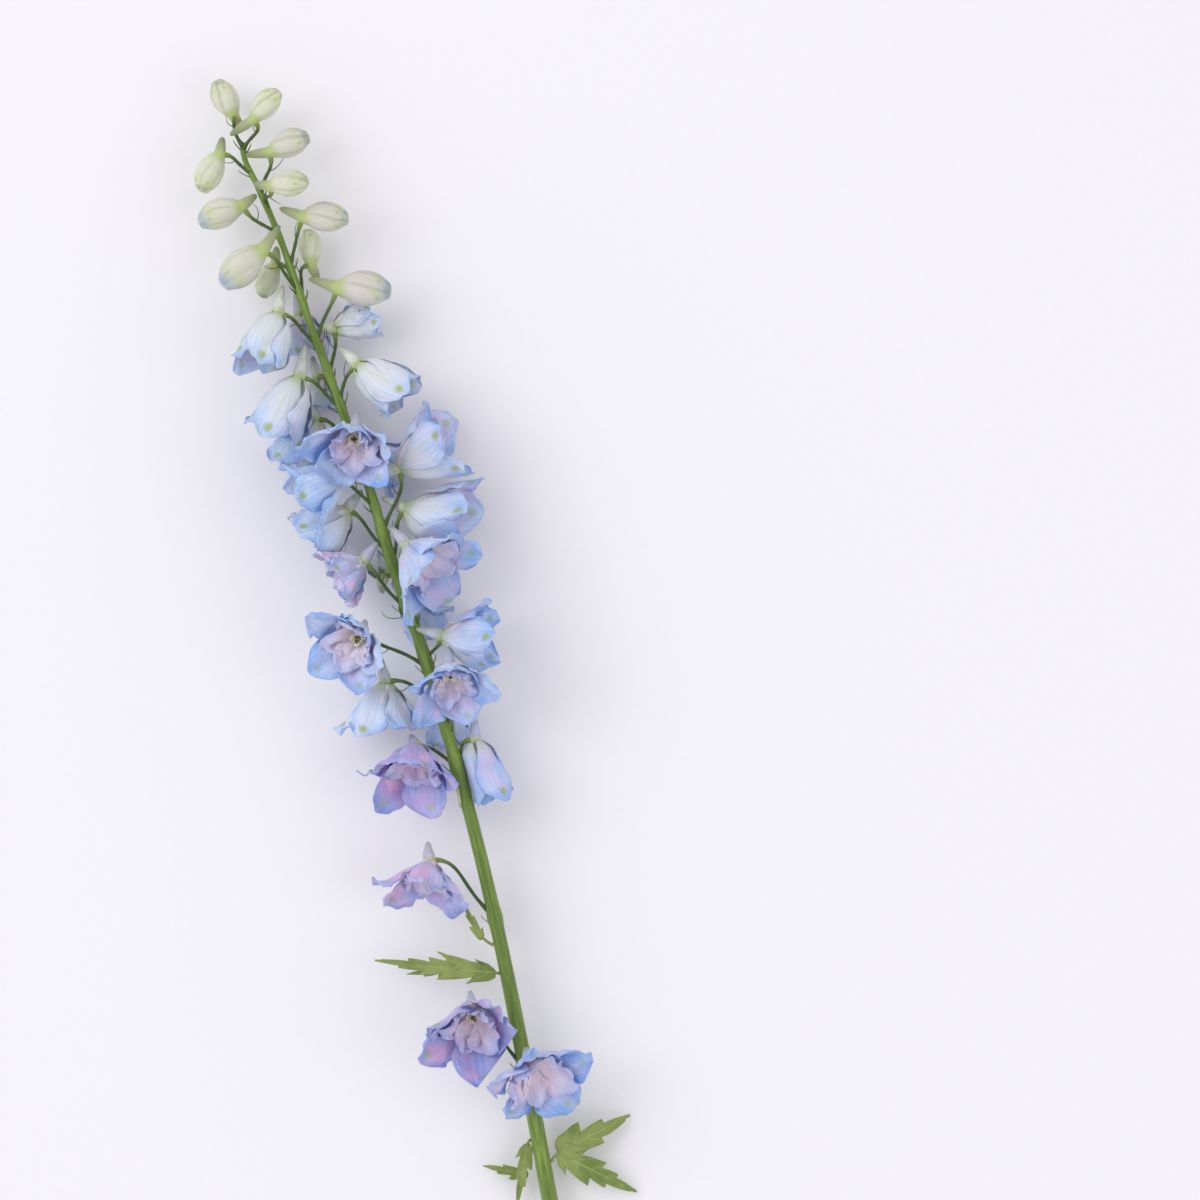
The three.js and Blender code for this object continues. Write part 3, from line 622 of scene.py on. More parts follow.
layers = [
    ("blend", add("multiply", pink, 0.7), "#d6cbd2"),
    ("blend", add("ramp", streak, 0.42, 0.72, 0.0, 0.35), "#c3cba6"),
    ("blend", add("ramp", along, 0.3, 0.02, 0.0, 0.8), "#b3c66a"),  # the foot
    ("blend", add("ramp", along, 0.05, -0.4, 0.0, 0.8), "#a3a883"),  # the spur
    ("blend", add("ramp", along, -0.3, -1.0, 0.0, 0.75), "#7d865f"),  # and its tip
    # painted shade along the seams
    ("blend", add("multiply", painted_seam_shade, 0.75), "#98a27c"),
    ("blend", add("multiply", add("ramp", gland, 2.1, 0.2), 0.65), "#a3b845"),
    ("blend", add("multiply", flush, 0.55), "#c0cf74"),
    ("blend", add("multiply", tip, 0.7), "#8f9a68"),
    ("blend", add("multiply", blue, 0.9), "#9db2dd"),
]
relief = add("add", streak, add("multiply", cloud, 0.6))
bud_tissue = made.finish(add("blend", fresh, "#d2cec6", "#dbe0c6"), layers, relief, 0.5, 0.0007)
print("bud material:", bud_tissue.name)

# %% [markdown]
# ## Throat petals, anthers and dry bracts
# The cream petals of the throat are covered in short hairs, so they are rough (0.6) with a strong sheen. The
# anthers are dark pods with a matt, slightly wrinkled skin (0.7). A bract that has dried on the stem is
# papery, straw-coloured with some green left in it (0.65). All three are plain tissue with a fine mottle, so
# one recipe does for all of them. Its IOR of 1.42 is that of drier cell walls.

# %% Throat, anther and dry bract materials
def plain_tissue(name, first, second, scale, roughness, sheen=0.1):
    made = Recipe(name, roughness=roughness, ior=1.42, subsurface=0.15, depth=0.001, sheen=sheen)
    mottle = made.add("TexNoise", made.place, scale, 3.0)
    return made.finish(made.add("blend", made.add("ramp", mottle, 0.38, 0.64), first, second), (), mottle)


bee_petal = plain_tissue("throat_petal_cream", "#f1edda", "#e3dfb2", 400.0, 0.6, 0.3)  # mottle of 2.5 mm
anther = plain_tissue("anther_skin_dark", "#3b3325", "#5d5236", 900.0, 0.7)  # wrinkles of 1 mm
dry_bract = plain_tissue("dry_bract_skin", "#dcdcae", "#b3bb72", 250.0, 0.65)  # patches of 4 mm
print("throat and bract materials:", bee_petal.name, anther.name, dry_bract.name)

# %% [markdown]
# ## Stem skin
# A delphinium stem has a smooth waxy green skin, the glossiest thing on the plant (0.42), with fine long
# ridges of fibre. The stalks are darker and turn yellow-green just below the bloom. Two materials could meet
# at the foot of each stalk, but that would leave a hard edge. So the third petal value tells one material
# whether a point belongs to the stem or to a stalk.

# %% Stem material
made = Recipe("stem_skin", roughness=0.42, ior=1.42, subsurface=0.08, depth=0.0015)
add, (around, along, stalk) = made.add, made.petal
ridge = add("CombineXYZ", add("multiply", around, 7.0), along, stalk)
ridge = add("TexNoise", ridge, 1.5, 3.0)  # 0.5 mm wide, 20 mm long
patch = add("TexNoise", made.place, 22.0, 1.0)  # 45 mm long
green = add("blend", add("ramp", ridge, 0.35, 0.68), "#627a33", "#88a24a")
stalk_green = add("blend", add("ramp", along, 0.55, 1.0), "#465d27", "#8a9f50")
layers = [("blend", add("ramp", patch, 0.4, 0.75, 0.0, 0.4), "#566f2b"), ("blend", stalk, stalk_green)]
stem_green = made.finish(green, layers, ridge, 0.35, 0.0004)
print("stem material:", stem_green.name)

# %% [markdown]
# ## Leaf blade
# A leaf is thin, satin above (0.5) and paler below, with a pale midrib and side veins that slant forward to
# the teeth, every 5 to 12 mm. The veins are drawn by a sine wave along the lobe that is pushed forward
# towards its edges. Cutting them into the mesh would take many faces for a relief of a tenth of a millimetre.

# %% Leaf material
made = Recipe("leaf_blade", roughness=0.5, ior=1.42, subsurface=0.1, depth=0.0008, sheen=0.05)
add, (across, along, outer) = made.add, made.petal
cloud = add("TexNoise", made.place, 60.0, 3.0)  # patches about 17 mm wide
off_middle = add("absolute", across)
vein = thin_lines(add, add("multiply_add", off_middle, -5.0, add("multiply", along, 34.0)), 12.0)
vein = add("maximum", add("multiply", vein, 0.6), add("ramp", off_middle, 0.1, 0.02))
under = add("ramp", outer, 1.0, 0.0, 0.0, 0.35)
layers = [("blend", add("multiply", vein, 0.6), "#a3b56c"), ("blend", under, "#a3b678")]
green = add("blend", add("ramp", cloud, 0.35, 0.65), "#71843f", "#8f9d56")
leaf_green = made.finish(green, layers, vein, 0.35, 0.0003)
print("leaf material:", leaf_green.name)

# %% [markdown]
# ## Where a bloom sits
# Each bloom has its own axes: z the way it faces and y its upper side, where the spur grows. It could be
# turned as an object. Here its points are turned while they are still arrays, so that petals can be bent
# clear of the other blooms.

# %% Bloom axes
def axes_of(bloom):
    upper = (bloom.base - stem_at(bloom.base[1])[0]) * [1, 0, 1]
    upper = 0.6 * unit(upper) + [0, 1, 0]
    upper = unit(upper - bloom.aim * upper.dot(bloom.aim))
    return np.stack([np.cross(upper, bloom.aim), upper, bloom.aim], axis=1)


print("upper side of the first floret:", axes_of(florets[0])[:, 1].round(2).tolist())

# %% [markdown]
# ## Lines of the stalks
# The stalk (pedicel) of a bloom leaves the stem upwards, arches over and meets the knob from behind and
# below. Its line could be drawn by hand for each bloom. A Bezier curve finds it from the two ends and the way
# it runs there.

# %% Stalk lines
HEEL = np.array([0, -0.97, -0.25])  # where the stalk meets the knob, in the bloom's axes
SEAM = 0.3  # the gap between a stalk and what it carries
STALK_STEPS = 26


def stalk_line(bloom):
    """The middle line of a stalk, and the way the stem runs at its foot."""
    axes = axes_of(bloom)
    end = bloom.base + axes @ (HEEL * (bloom.knob + SEAM))
    arriving = unit(axes @ HEEL)
    point, along = stem_at(bloom.root)
    out = end - point
    out = unit(out - along * out.dot(along))
    reach = np.linalg.norm(end - point)
    leaving = 0.6 * out + 0.8 * along
    a, b, c, d = point, point + 0.55 * reach * leaving, end + 0.35 * reach * arriving, end
    t = np.linspace(0, 1, STALK_STEPS + 1)[:, None]
    return a * (1 - t) ** 3 + 3 * b * t * (1 - t) ** 2 + 3 * c * t * t * (1 - t) + d * t**3, along


print("longest stalk (mm):", max(length_of(stalk_line(bloom)[0]) for bloom in blooms))

# %% [markdown]
# ## Stalks with their small leaves
# A stalk is a little thicker at its foot and below the bloom. A narrow bract stands at its foot, and a
# hair-thin bractlet curls away above its middle. Both are too small to be seen one by one, but without them
# the spike would look bare between the blooms. The bract is a blade, and the bractlet is thin enough to be a
# tube.

# %% Stalk, bractlet and bract
PEDICEL = 0.95  # radius of a stalk


def stalk_bar(line):
    t = np.linspace(0, 1, STALK_STEPS + 1)
    radii = PEDICEL + 0.5 * smooth(t, 0.75, 1) + 0.9 * np.exp(-t * 12) + 0.06 * np.sin(t * 20)
    neck = line[-1] + np.outer([0.5, 1.0, 1.5], unit(line[-1] - line[-2]))
    return tube(np.vstack([line, neck]), np.append(radii, [1.4, 1.3, 1.0]), 12, NO_TINT, 0)


def bractlet(line, draw):
    first, second = rails(line)
    i = int(0.6 * STALK_STEPS)
    way = unit(first[i] * draw(-1, 1) + second[i] * draw(-1, 1) + 0.01)
    curl = np.linspace(0, draw(1.5, 3.2), 12)[:, None]
    length = draw(3, 5.5)
    ahead = unit(line[i + 1] - line[i])
    hair = line[i] + length * (np.sin(curl) * way + (1 - np.cos(curl)) * ahead * 0.9 + 0.5 * curl * way)
    hair[:, 2] = np.maximum(hair[:, 2], 0.5)
    return tube(hair, np.linspace(0.32, 0.12, 12), 6, NO_TINT, 0)


def bract(root, line, along, draw):
    out = unit(line[6] - line[0] - along * (line[6] - line[0]).dot(along))
    foot = stem_at(root - 2.5)[0] + out * (stem_radius(root) - 0.1)
    length, half = draw(6, 9), draw(0.6, 0.9)
    v, u = grid_shares(9, 5)
    lift = np.sin(v * draw(0.9, 1.6))
    side = np.cross(along, out)
    width = half * np.power(1 - v, 0.6) * smooth(v, -0.3, 0.15) + 0.08
    middle = foot + length * (v[..., None] * along * 0.8 + lift[..., None] * out * 0.55)
    middle = middle + (u * width)[..., None] * side + (np.abs(u) * 0.25)[..., None] * out
    middle[..., 2] = np.maximum(middle[..., 2], 0.6)
    return blade(middle, 0.35, u, v, NO_TINT, 0)


def stalk_parts(bloom, draw):
    line, along = stalk_line(bloom)
    return [stalk_bar(line), bractlet(line, draw), bract(bloom.root, line, along, draw)]


print("parts of one stalk:", len(stalk_parts(blooms[0], draws(1))))

# %% [markdown]
# ## Stem
# The stem has seven low ridges and swells a little where a stalk leaves it. At one node, where a stalk has
# dropped off, a pale dry bract hangs down along it. Stem and stalks could be pieces of their own, but they
# grew together, so they are one.

# %% Build the stem
def stem_bar():
    rows, sides = 420, 28
    heights = np.linspace(0, STEM_LENGTH, rows)
    line = np.array([stem_at(h)[0] for h in heights])
    radii = stem_radius(heights)
    radii[-3:] *= [0.9, 0.7, 0.4]
    ridges = 1 + 0.03 * np.cos(7 * ring_angles(sides))[None, :] + 0.012 * np.sin(heights / 21)[:, None]
    swell = sum(0.16 * np.exp(-(((heights - b.root) / 5) ** 2)) for b in blooms)
    radii = radii * (1 + np.minimum(swell, 0.25))
    return tube(line, radii, sides, NO_TINT, 0, ridges, along=heights / 30, outer=0.0)


def hanging_bract(height, length, half, way):
    v, u = grid_shares(14, 7)
    way = unit(np.array(way, float))
    side = unit(np.cross(way, [0, 1, 0]))
    spine = np.array([stem_at(h)[0] + way * (stem_radius(h) + 0.4) for h in height - length * v[:, 0]])
    width = half * np.sqrt(np.sin(math.pi * (0.12 + 0.86 * v)))
    stand = 1.2 * v**2 - 0.4 * u * u + 0.2 * np.sin(7 * v + 2 * u)
    middle = spine[:, None] + (u * width)[..., None] * side + stand[..., None] * way
    return blade(middle, 0.4, u, v, NO_TINT, 1)


draw = draws(900)
stem_pieces = [stem_bar(), hanging_bract(318, 12, 1.5, (-0.85, 0, 0.5))]
for bloom in blooms:
    stem_pieces += stalk_parts(bloom, draw)
stem = make_piece("stem_with_stalks", stem_pieces, [stem_green, dry_bract], "stem")
print("stem faces:", len(stem.data.polygons))

# %% [markdown]
# ## Buds
# Five sepals lap round a bud like the blades of a closed umbrella. They could be five closed petals, but only
# their edges show. So a bud is lofted in one skin from the tip of its spur to its blunt nose, and its section
# steps out at each of five seams.

# %% Build the buds
SEPALS = 5


def bud_course(bloom, rise):
    """The middle line of a bud and its radius, from the tip of the spur to the nose."""
    size = bloom.size
    stations = [(0, rise, -bloom.spur, 1.3), (0, 0.5 * rise, -0.5 * bloom.spur, 2.6)]
    for share in (0.02, 0.2, 0.48, 0.76, 0.92, 1.0):
        full = math.sin(math.pi * (0.12 + 0.66 * share)) ** 0.8 * math.sqrt(1 - 0.5 * share**6)
        stations.append((0, 0.6 * math.sin(3 * share), share * size, size * 0.33 * full))
    course = smooth_line(stations, 72)
    line, radii = course[:, :3], course[:, 3].copy()
    cap = 1.5 * np.linspace(0, 1, 7)[1:-1]
    nose = line[-1] + np.outer(np.sin(cap) * 0.07 * size, [0, 0, 1])
    radii = np.concatenate([radii, radii[-1] * np.cos(cap)])
    radii[:3] *= [0.35, 0.7, 0.92]
    return np.vstack([line, nose]), radii


def bud_part(bloom, seed):
    draw = draws(seed)
    line, radii = bud_course(bloom, draw(2, 4))
    sides = 60
    along = line[:, 2] / bloom.size
    turn = ((np.arange(sides) + 0.5) / sides * SEPALS)[None, :] % 1.0 + np.zeros((len(line), 1))
    twist = 0.6 * along + draw(0, 6.28)
    grown = smooth(along, 0.03, 0.45)[:, None]
    lobes = np.abs(np.sin(math.pi * turn))
    shape = 1 + grown * (0.2 * (turn - 0.5) + 0.07 * lobes)
    shape = shape - smooth(along, 0.84, 1.05)[:, None] * 0.22 * (1 - lobes)
    along = np.where(along < 0, along * bloom.size / bloom.spur, along)
    skin = tube(line, radii, sides, bloom.tint, 0, shape, 2 * turn - 1, along, twist=twist)
    return moved(skin, axes_of(bloom), bloom.base)


for i, bloom in enumerate(buds, 1):
    made = make_piece(bloom.name + "_skin", [bud_part(bloom, i)], [bud_tissue], bloom.name)
print("buds built:", len(buds), "faces of the last:", len(made.data.polygons))

# %% [markdown]
# ## Room for each floret
# Florets crowd each other on the spike, and each one presses on its neighbours without passing through them.
# A cloth simulation would find that shape, but slowly. A few planes do as well: a wall is a plane that a
# petal bends clear of. The surface below is one, the stem another, and there is one between each two
# neighbours.

# %% Walls
PETAL = 0.7  # thickness that is kept free for a petal
CLEAR = 0.25  # half of the gap between neighbours
SOFTNESS = 1.5  # how far before a wall a petal starts to bend


def walls_of(bloom):
    walls = [(np.array([0.0, 0.0, -1.0]), 0.0)]
    point, along = stem_at(bloom.heart[1])
    inward = point - bloom.heart
    inward = unit(inward - along * inward.dot(along))
    walls.append((inward, inward.dot(point) - float(stem_radius(bloom.heart[1])) - CLEAR))
    for other in blooms:
        away = other.heart - bloom.heart
        distance = np.linalg.norm(away)
        if other is bloom or distance > bloom.breadth + other.breadth:
            continue
        share = (distance**2 + bloom.breadth**2 - other.breadth**2) / (2 * distance)
        away = away / distance
        walls.append((away, away.dot(bloom.heart) + share - CLEAR))
    return walls


def settle(points, walls, clearance):
    for softness in (SOFTNESS, 0, 0, 0):
        for normal, reach in walls:
            over = points @ normal - reach + clearance
            back = np.maximum(over, 0)
            if softness:
                near = np.abs(over) < softness
                back = np.where(near, (over + softness) ** 2 / (4 * softness), back)
            points = points - back[..., None] * normal
    return points


print("most walls round one floret:", max(len(walls_of(bloom)) for bloom in florets))

# %% [markdown]
# ## Line and outline of a petal
# Seen from the side, a petal leaves the axis almost flat, turns up into a bell and flares at the end. Seen
# from the front, it has a narrow claw and a round blade. Both could be drawn as curves and sampled. Two short
# formulas do the same, and one value, how open the floret is, changes all of them together.

# %% Middle line and outline of a petal
def running_sum(values, step):
    return np.concatenate([[0], np.cumsum((values[1:] + values[:-1]) / 2) * step])


def middle_line(size, openness, along):
    """Radius, height and lean of a petal's middle line at those shares of its length."""
    s = np.linspace(0, 1, 401)
    bell = 85 * np.exp(-4.5 * s) + 2 + 14 * smooth(s, 0.75, 1)
    angle = np.radians(mix(bell, 58 + 26 * s, openness))
    step = size / 400
    radius = 1 + running_sum(np.sin(angle), step)
    radius = radius + 2.3 * np.exp(-(((s * size) / 3.0) ** 2))  # the claws are grown on round the knob
    height = 0.6 + running_sum(np.cos(angle), step)
    return np.interp(along, s, radius), np.interp(along, s, height), np.interp(along, s, angle)


def outline(v):
    return mix(0.14, 1.0, smooth(v, 0, 0.68)) * np.sqrt(1 - 0.7 * (np.maximum(v - 0.6, 0) / 0.4) ** 2)


print("widest share of a sepal outline:", round(float(outline(np.linspace(0, 1, 50)).max()), 3))

# %% [markdown]
# ## Surface of a petal
# Across, a petal is cupped. A slow wave, narrow pleats along the veins, crumples and a frill at the rim keep
# it from looking like plastic. Sculpting would give each one more character, but over two hundred are needed,
# and a formula makes them all different from a few numbers each.

# %% Petal surface
CRUMPLES = ((3.1, 5.2, 1.3), (-4.7, 7.9, 2.1), (6.3, 3.4, 3.7))  # waves across and along, and their phase


def petal_grid(petal, rows, columns):
    v, u = grid_shares(rows, columns)
    size, openness, phase = petal["size"], petal["open"], petal["phase"]
    rounding = 0.08 + 0.06 * v**5
    along = v * (1 - rounding * u * u)
    radius, height, lean = middle_line(size, openness, along)
    half = petal["width"] * size * outline(v) * petal["fullness"]
    cup = mix(np.maximum(radius, 4), 18, openness**1.2)
    angle = u * half / cup
    wave = petal["ripple"] * v * np.sin(phase + 4 * v + 2.2 * u) * (0.4 + 0.6 * np.abs(u))
    grown = smooth(v, 0.1, 0.7)
    pleat = petal["pleat"] * grown * np.cos(9.5 * u + phase)
    rim = np.maximum(np.abs(u) ** 3, v**6)
    frill = np.sin(13 * v + 5 * u * v + 2 * phase) + 0.5 * np.sin(27 * v - 9 * u + phase)
    frill = petal["frill"] * rim * grown * frill
    pinch = -petal["pinch"] * np.exp(-((u / 0.2) ** 2) - ((v - 0.9) / 0.07) ** 2)
    curl = petal["curl"] * smooth(v, 0.72, 1) ** 2
    crumple = petal["crumple"] * grown * sum(np.sin(a * u + b * v + phase * c) for a, b, c in CRUMPLES)
    lift = petal["lap"] * u * smooth(v, 0, 0.35) + wave - cup * (1 - np.cos(angle))
    lift = lift + pleat + frill + pinch + curl + crumple
    side = cup * np.sin(angle)
    outward, up = radius + lift * np.cos(lean), height - lift * np.sin(lean)
    c, s = math.cos(petal["turn"]), math.sin(petal["turn"])
    return np.stack([outward * c - side * s, outward * s + side * c, up], axis=-1), u, v


print("points of a 38 by 26 grid:", grid_shares(38, 26)[0].size)

# %% [markdown]
# ## Knob and spur
# The knob at the end of the stalk (the receptacle) carries the petals. The spur tapers back from it and turns
# up at its end. A sphere and a cone would meet in a crease, so both are one tube whose radius follows a few
# points.

# %% Knob and spur
def horn(bloom, rise):
    length = bloom.spur
    course = smooth_line([
        (0, 0, 2.4, 1.6), (0, 0.1, 1.2, 2.9), (0, 0.4, 0, 3.4),
        (0, 0.9 + 0.2 * rise, -0.3 * length, 3.2), (0, 0.7 + 0.45 * rise, -0.5 * length, 2.6),
        (0, 0.4 + 0.7 * rise, -0.72 * length, 1.9), (0, rise, -length, 1.1),
    ], 40)
    radii = course[:, 3].copy()
    radii[-3:] *= [0.92, 0.7, 0.3]
    sides = 20
    shape = 1 + 0.05 * np.cos(5 * ring_angles(sides))
    along = np.clip(-course[:, 2] / length, 0, 1)
    return tube(course[:, :3], radii, sides, bloom.tint, 2, shape, along=along)


print("points of a spur:", len(horn(florets[0], 3.0)["points"]))

# %% [markdown]
# ## Petals of a floret
# A floret has five sepals with a few crumpled inner petals inside them. Copies of one petal would look
# stamped, so each gets its own numbers: how wide, wavy, pleated, frilled, pinched at the gland, curled and
# crumpled it is. A wide open floret has more of most.

# %% Numbers for a sepal and an inner petal
def sepal_numbers(bloom, k, draw, extra):
    return dict(
        size=bloom.size * draw(0.88, 1.08),
        open=min(max(bloom.open + draw(-0.1, 0.12), 0), 1),
        turn=math.pi / 2 + k / SEPALS * 2 * math.pi + draw(-0.15, 0.15),
        width=mix(0.3, 0.36, bloom.open) * draw(0.94, 1.06),
        lap=1.5, fullness=1.12,
        ripple=draw(0.3, 0.8) + 0.8 * bloom.open,
        phase=draw(0, 6.28),
        pleat=extra(0.0, 0.1),
        frill=extra(0.6, 1.1) + 0.9 * bloom.open,
        pinch=extra(0.4, 0.9),
        curl=extra(-1.0, 1.0) + 1.5 * bloom.open,
        crumple=extra(0.2, 0.35) + 1.0 * bloom.open,
    )


def inner_numbers(bloom, k, count, draw, extra):
    return dict(
        size=bloom.size * draw(0.5, 0.62) * (1.12 if bloom.inner else 1.4),
        open=bloom.open * 0.5,
        turn=math.pi / 2 + (k + 0.5) / count * 2 * math.pi + draw(-0.15, 0.15),
        width=draw(0.3, 0.38),
        lap=0.8, fullness=1.0, pleat=0.4, crumple=1.0,
        ripple=draw(0.8, 1.6),
        phase=draw(0, 6.28),
        frill=extra(1.0, 1.8),
        pinch=-extra(0.0, 1.5),
        curl=extra(-1.5, 3.0),
    )


print("length of a first sepal (mm):", round(sepal_numbers(florets[0], 0, draws(1), draws(2))["size"], 1))

# %% [markdown]
# ## Florets
# Each floret is one piece: the sepals, the inner petals, the knob and the spur are grown together. One
# withered sepal ends in a curled thread, which is a thin tube.

# %% Build the florets
SEPAL_ROWS, SEPAL_COLUMNS, SEPAL_THICKNESS = 38, 26, 0.4
INNER_ROWS, INNER_COLUMNS, INNER_THICKNESS = 18, 13, 0.3
LAYER = 0.9  # how much further each layer of petals keeps from the walls
LILAC = (24, 25, 26)  # these florets are washed with lilac, and the others are sky blue
WITHERED = 24  # one sepal of this floret ends in a curled thread
THREAD = [(-23, 339.6, 53), (-27.4, 337.5, 50), (-31.4, 341.5, 47)]


def floret_parts(bloom, seed):
    draw, extra = draws(seed), draws(seed + 400)
    axes, walls = axes_of(bloom), walls_of(bloom)
    fresh, pink, deep = bloom.tint

    def set_petal(petal, layer, rows, columns, thickness, tint, material):
        grid, u, v = petal_grid(petal, rows, columns)
        grid = settle(grid @ axes.T + bloom.base, walls, PETAL / 2 + LAYER * layer)
        return blade(grid, thickness, u, v, tint, material)

    parts = [moved(horn(bloom, draw(2, 5)), axes, bloom.base)]
    for k in range(SEPALS):
        petal = sepal_numbers(bloom, k, draw, extra)
        greener, pinker, deeper = extra(-0.12, 0.12), extra(-0.15, 0.2), extra(-0.18, 0.18)
        tint = (fresh + greener, max(pink + pinker, 0), max(deep + deeper, 0))
        parts.append(set_petal(petal, k % 2, SEPAL_ROWS, SEPAL_COLUMNS, SEPAL_THICKNESS, tint, 0))
    count = max(bloom.inner, 3) + (2 if bloom.open > 0.3 else 0)
    for k in range(count):
        petal = inner_numbers(bloom, k, count, draw, extra)
        tint = (fresh, min(pink + extra(-0.1, 0.4), 1), deep)
        parts.append(set_petal(petal, 2 + k % 2, INNER_ROWS, INNER_COLUMNS, INNER_THICKNESS, tint, 1))
    return parts


for i, bloom in enumerate(florets, 1):
    parts = floret_parts(bloom, 49 + i)
    if i == WITHERED:
        parts.append(tube(smooth_line(THREAD, 24), np.linspace(0.7, 0.35, 25), 8, bloom.tint, 0))
    tissue = lilac_sepal if i in LILAC else sky_sepal
    make_piece(bloom.name + "_petals", parts, [tissue, inner_petal, spur], bloom.name)

# %% [markdown]
# ## The bee
# Growers call the cream tuft in the throat the bee. It is a ring of small hairy petals round the dark
# anthers, which stand on thin filaments. A particle system could grow the hairs, but a few dozen short tubes
# to each bee stay with the piece and need nothing else. Real hairs are finer: these are as thin as can still
# be seen.

# %% Parts of a bee
BEE_PETALS, HAIRS, ANTHERS = 4, 16, 9


def bee_petal_parts(k, draw):
    turn = k / BEE_PETALS * 2 * math.pi + 0.7
    v, u = grid_shares(10, 7)
    half = 2.0 * np.power(np.sin(math.pi * (0.12 + 0.7 * v)), 0.8)
    out = 0.7 + 2.8 * v**1.3 + 0.3 * np.sin(5 * v + k)
    side = u * half
    c, s = math.cos(turn), math.sin(turn)
    grid = np.stack([out * c - side * s, out * s + side * c, 2.7 + 6.6 * v - 0.4 * u * u], axis=-1)
    parts = [blade(grid, 0.35, u, v, NO_TINT, 0)]
    for _ in range(HAIRS):
        row, column = int(draw(4, 10)), int(draw(0, 7))
        start = grid[min(row, 9), min(column, 6)]
        way = unit(np.array([c * draw(-0.8, 0.8), s * draw(-0.8, 0.8), draw(0.4, 1.0)]))
        hair = start + np.linspace(0, draw(0.9, 1.6), 4)[:, None] * way
        parts.append(tube(hair, [0.1, 0.09, 0.06, 0.02], 4, NO_TINT, 0))
    return parts


def anther_parts(draw):
    angle, reach, height = draw(0, 6.28), draw(0.2, 1.9), draw(6.2, 9.0)
    spot = np.array([reach * math.cos(angle), reach * math.sin(angle), height])
    line = np.array([[spot[0] * 0.4, spot[1] * 0.4, 2.8], spot * [0.8, 0.8, 0.7], spot])
    filament = tube(smooth_line(line, 6), np.full(7, 0.14), 5, NO_TINT, 0)
    way = unit(np.array([draw(-1, 1), draw(-1, 1), 0.6]))
    bean = spot + np.linspace(-0.85, 0.85, 9)[:, None] * way
    return [filament, tube(bean, 0.5 * np.sqrt(1 - np.linspace(-0.97, 0.97, 9) ** 2), 8, NO_TINT, 1)]


print("parts of one bee:", BEE_PETALS * (1 + HAIRS) + ANTHERS * 2)

# %% [markdown]
# ## Bees in their florets
# Only eight florets are open enough to show their bee. The others could have one too, but it would never be
# seen. A bee has its own colours and its own finish, so it is a piece of its own.

# %% Build the bees
def bee_parts(bloom, seed):
    draw = draws(seed)
    parts = []
    for k in range(BEE_PETALS):
        parts += bee_petal_parts(k, draw)
    for _ in range(ANTHERS):
        parts += anther_parts(draw)
    axes = axes_of(bloom)
    return [moved(p, axes, bloom.base) for p in parts]


for i, bloom in enumerate(florets, 1):
    if bloom.eye:
        parts = bee_parts(bloom, 700 + i)
        make_piece(f"bee_{i:02d}", parts, [bee_petal, anther], f"eye_{i:02d}")
print("bees:", sum(b.eye for b in florets))

# %% [markdown]
# ## Leaves
# A leaf is a hand of narrow lobes with teeth that point forward. Each lobe is folded a little along its
# midrib and arches between its ends. A flat plane with a cut-out picture of a leaf would have no thickness at
# its edge, so each lobe is a blade like the petals, with a saw-tooth wave in its outline.

# %% Build the leaves
def lobe_part(start, end, width):
    start, end = np.array(start, float), np.array(end, float)
    run = end - start
    side = unit(np.cross(run, [0, 0, 1]))
    length = np.linalg.norm(run)
    teeth = max(3, int(length / 12))  # one for every 12 mm
    v, u = grid_shares(teeth * 10 + 1, 13)
    saw = (v * teeth + 0.35 * (u > 0) + 0.12 * np.sin(11 * v)) % 1.0
    half = width * (1 - 0.5 * v) * np.sin(math.pi * (0.12 + 0.84 * np.power(v, 0.6)))
    tooth = mix(1.0, 0.45 + 0.85 * saw, smooth(np.abs(u), 0.2, 1) * smooth(v, 0.05, 0.2) * (1 - 0.5 * v))
    reach = v + 0.1 * np.abs(u) ** 2 * saw * (1 - v)
    grid = start + reach[..., None] * run + (u * half * tooth)[..., None] * side
    arch = 0.1 * length * np.sin(math.pi * v)
    grid[..., 2] += arch + 0.25 * half * np.abs(u) + 0.25 * np.sin(9 * v + 3 * u)
    grid[..., 2] = np.maximum(grid[..., 2], 0.3)
    return blade(grid, 0.45, u, v, NO_TINT, 0)


def leaf_parts(root, side, lobes):
    point, along = stem_at(root)
    out = np.array(side, float)
    out = unit(out - along * out.dot(along))
    start = point + out * (stem_radius(root) + SEAM)
    first, tip = np.array(lobes[0][0], float), np.array(lobes[0][1], float)
    line = smooth_line([start, mix(start, first, 0.5), first + 0.08 * (tip - first)], 12)
    petiole = tube(line, np.linspace(0.95, 0.7, 13), 10, NO_TINT, 0)
    return [petiole] + [lobe_part(*lobe) for lobe in lobes]


for i, row in enumerate(LEAVES, 1):
    made = make_piece(f"leaf_{i:02d}_blade", leaf_parts(*row), [leaf_green], f"leaf_{i:02d}")
print("leaves:", len(LEAVES), "faces of the last:", len(made.data.polygons))

# %% [markdown]
# ## Surface
# The spike lies on a sheet of matt white paper. Paper is a felt of fibres that scatters light evenly, so it
# is very rough (0.9), and cellulose has an IOR of about 1.45. Its fibres are far too fine to show, so a faint
# grain of 3 mm stands in for them.

# %% Paper
PAPER_HALF = 6.0  # metres from the middle to an edge, so that no edge shows

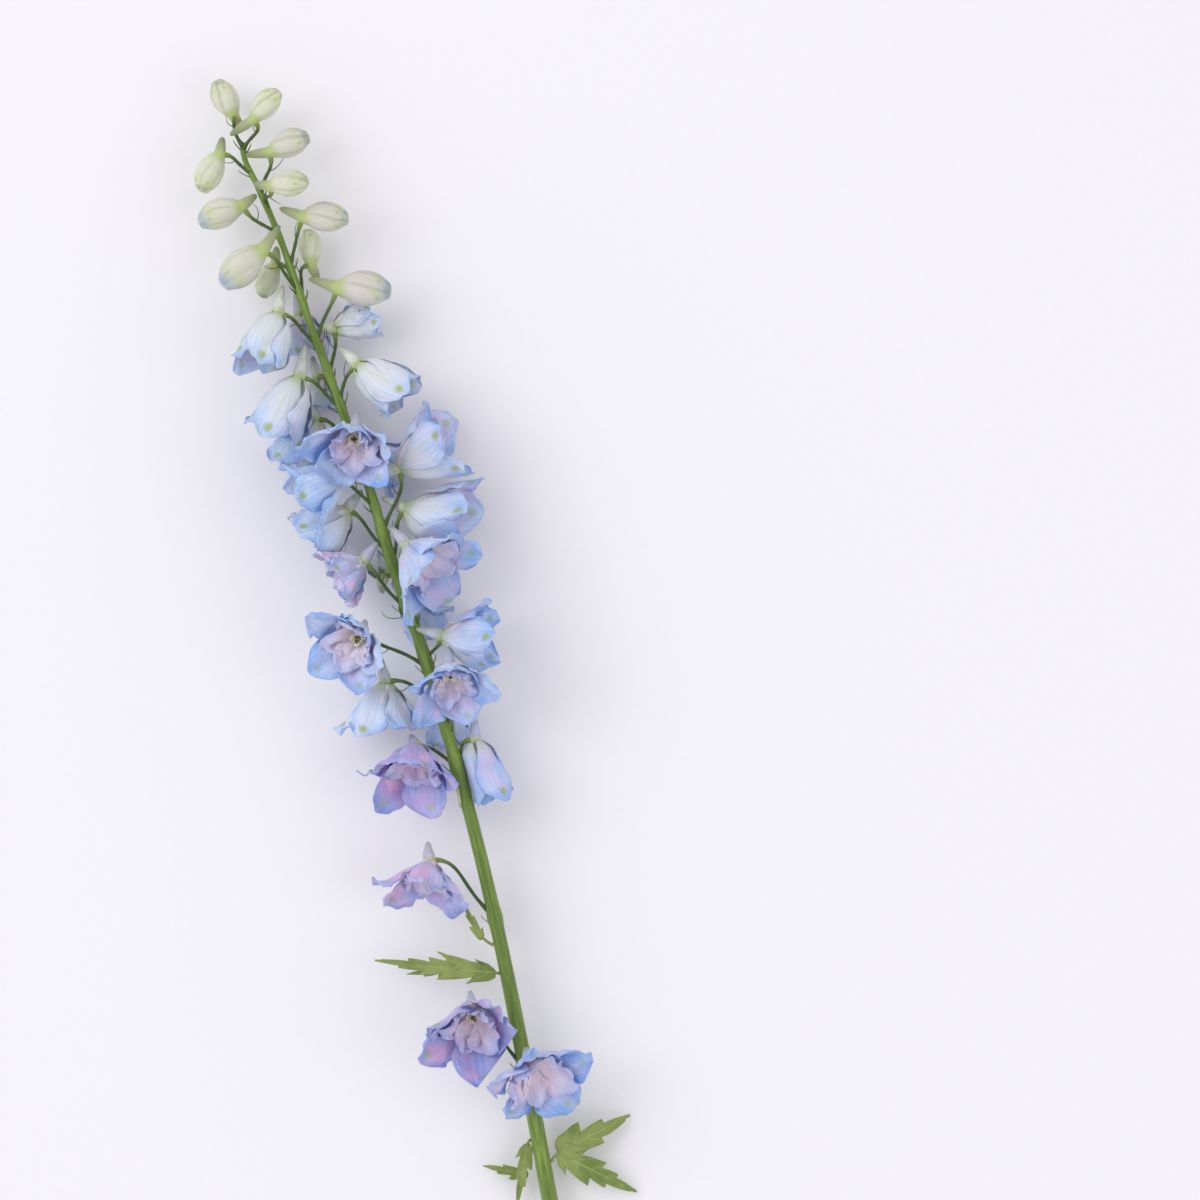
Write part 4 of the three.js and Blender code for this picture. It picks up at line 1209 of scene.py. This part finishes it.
corners = [(x * PAPER_HALF, y * PAPER_HALF, 0) for x, y in ((-1, -1), (1, -1), (1, 1), (-1, 1))]
floor_mesh = bpy.data.meshes.new("floor")
floor_mesh.from_pydata(corners, [], [(0, 1, 2, 3)])
floor = bpy.data.objects.new("floor", floor_mesh)
bpy.context.scene.collection.objects.link(floor)
paper = Recipe("matt_white_paper", roughness=0.9, ior=1.45)
grain = paper.add("TexNoise", paper.place, 300.0, 2.0)
floor_mesh.materials.append(paper.finish(paper.add("blend", grain, "#f3f2f6", "#f5f4f8")))
print("paper edge (m):", floor.dimensions.x)

# %% [markdown]
# ## Sky
# A bright even sky lights the spike from all sides, like the white walls of a studio. A picture of a studio
# could be used, but a plain colour needs no file and gives no reflections of its own.

# %% Sky
SKY_STRENGTH = 0.79

world = bpy.data.worlds.new("studio")
bpy.context.scene.world = world
world.use_nodes = True
world.node_tree.nodes["Background"].inputs["Color"].default_value = linear("#faf8fc")
world.node_tree.nodes["Background"].inputs["Strength"].default_value = SKY_STRENGTH
print("sky strength:", SKY_STRENGTH)

# %% [markdown]
# ## Lamps
# One large soft lamp to the upper left models the petals with gentle shadows, and a weak one to the right
# fills them in. Small or far lamps, such as a sun, would draw hard edges on the paper.

# %% Lamps
def lamp(name, place, size, power):
    """A round soft lamp of that size in metres and power in watts, aimed at the middle of the spike."""
    light = bpy.data.lights.new(name, "AREA")
    light.shape, light.size, light.energy = "DISK", size, power
    holder = bpy.data.objects.new(name, light)
    bpy.context.scene.collection.objects.link(holder)
    holder.location = place
    x, y, z = -np.array(place)
    holder.rotation_euler = (math.atan2(math.hypot(x, y), -z), 0, math.atan2(x, -y) + math.pi)
    return holder


lamp("key_lamp", (-2.6, 2.2, 3.6), 3.8, 80)
lamp("fill_lamp", (1.8, -1.2, 2.0), 2.4, 9)
bpy.context.scene.view_settings.view_transform = "Standard"
bpy.context.scene.view_settings.look = "None"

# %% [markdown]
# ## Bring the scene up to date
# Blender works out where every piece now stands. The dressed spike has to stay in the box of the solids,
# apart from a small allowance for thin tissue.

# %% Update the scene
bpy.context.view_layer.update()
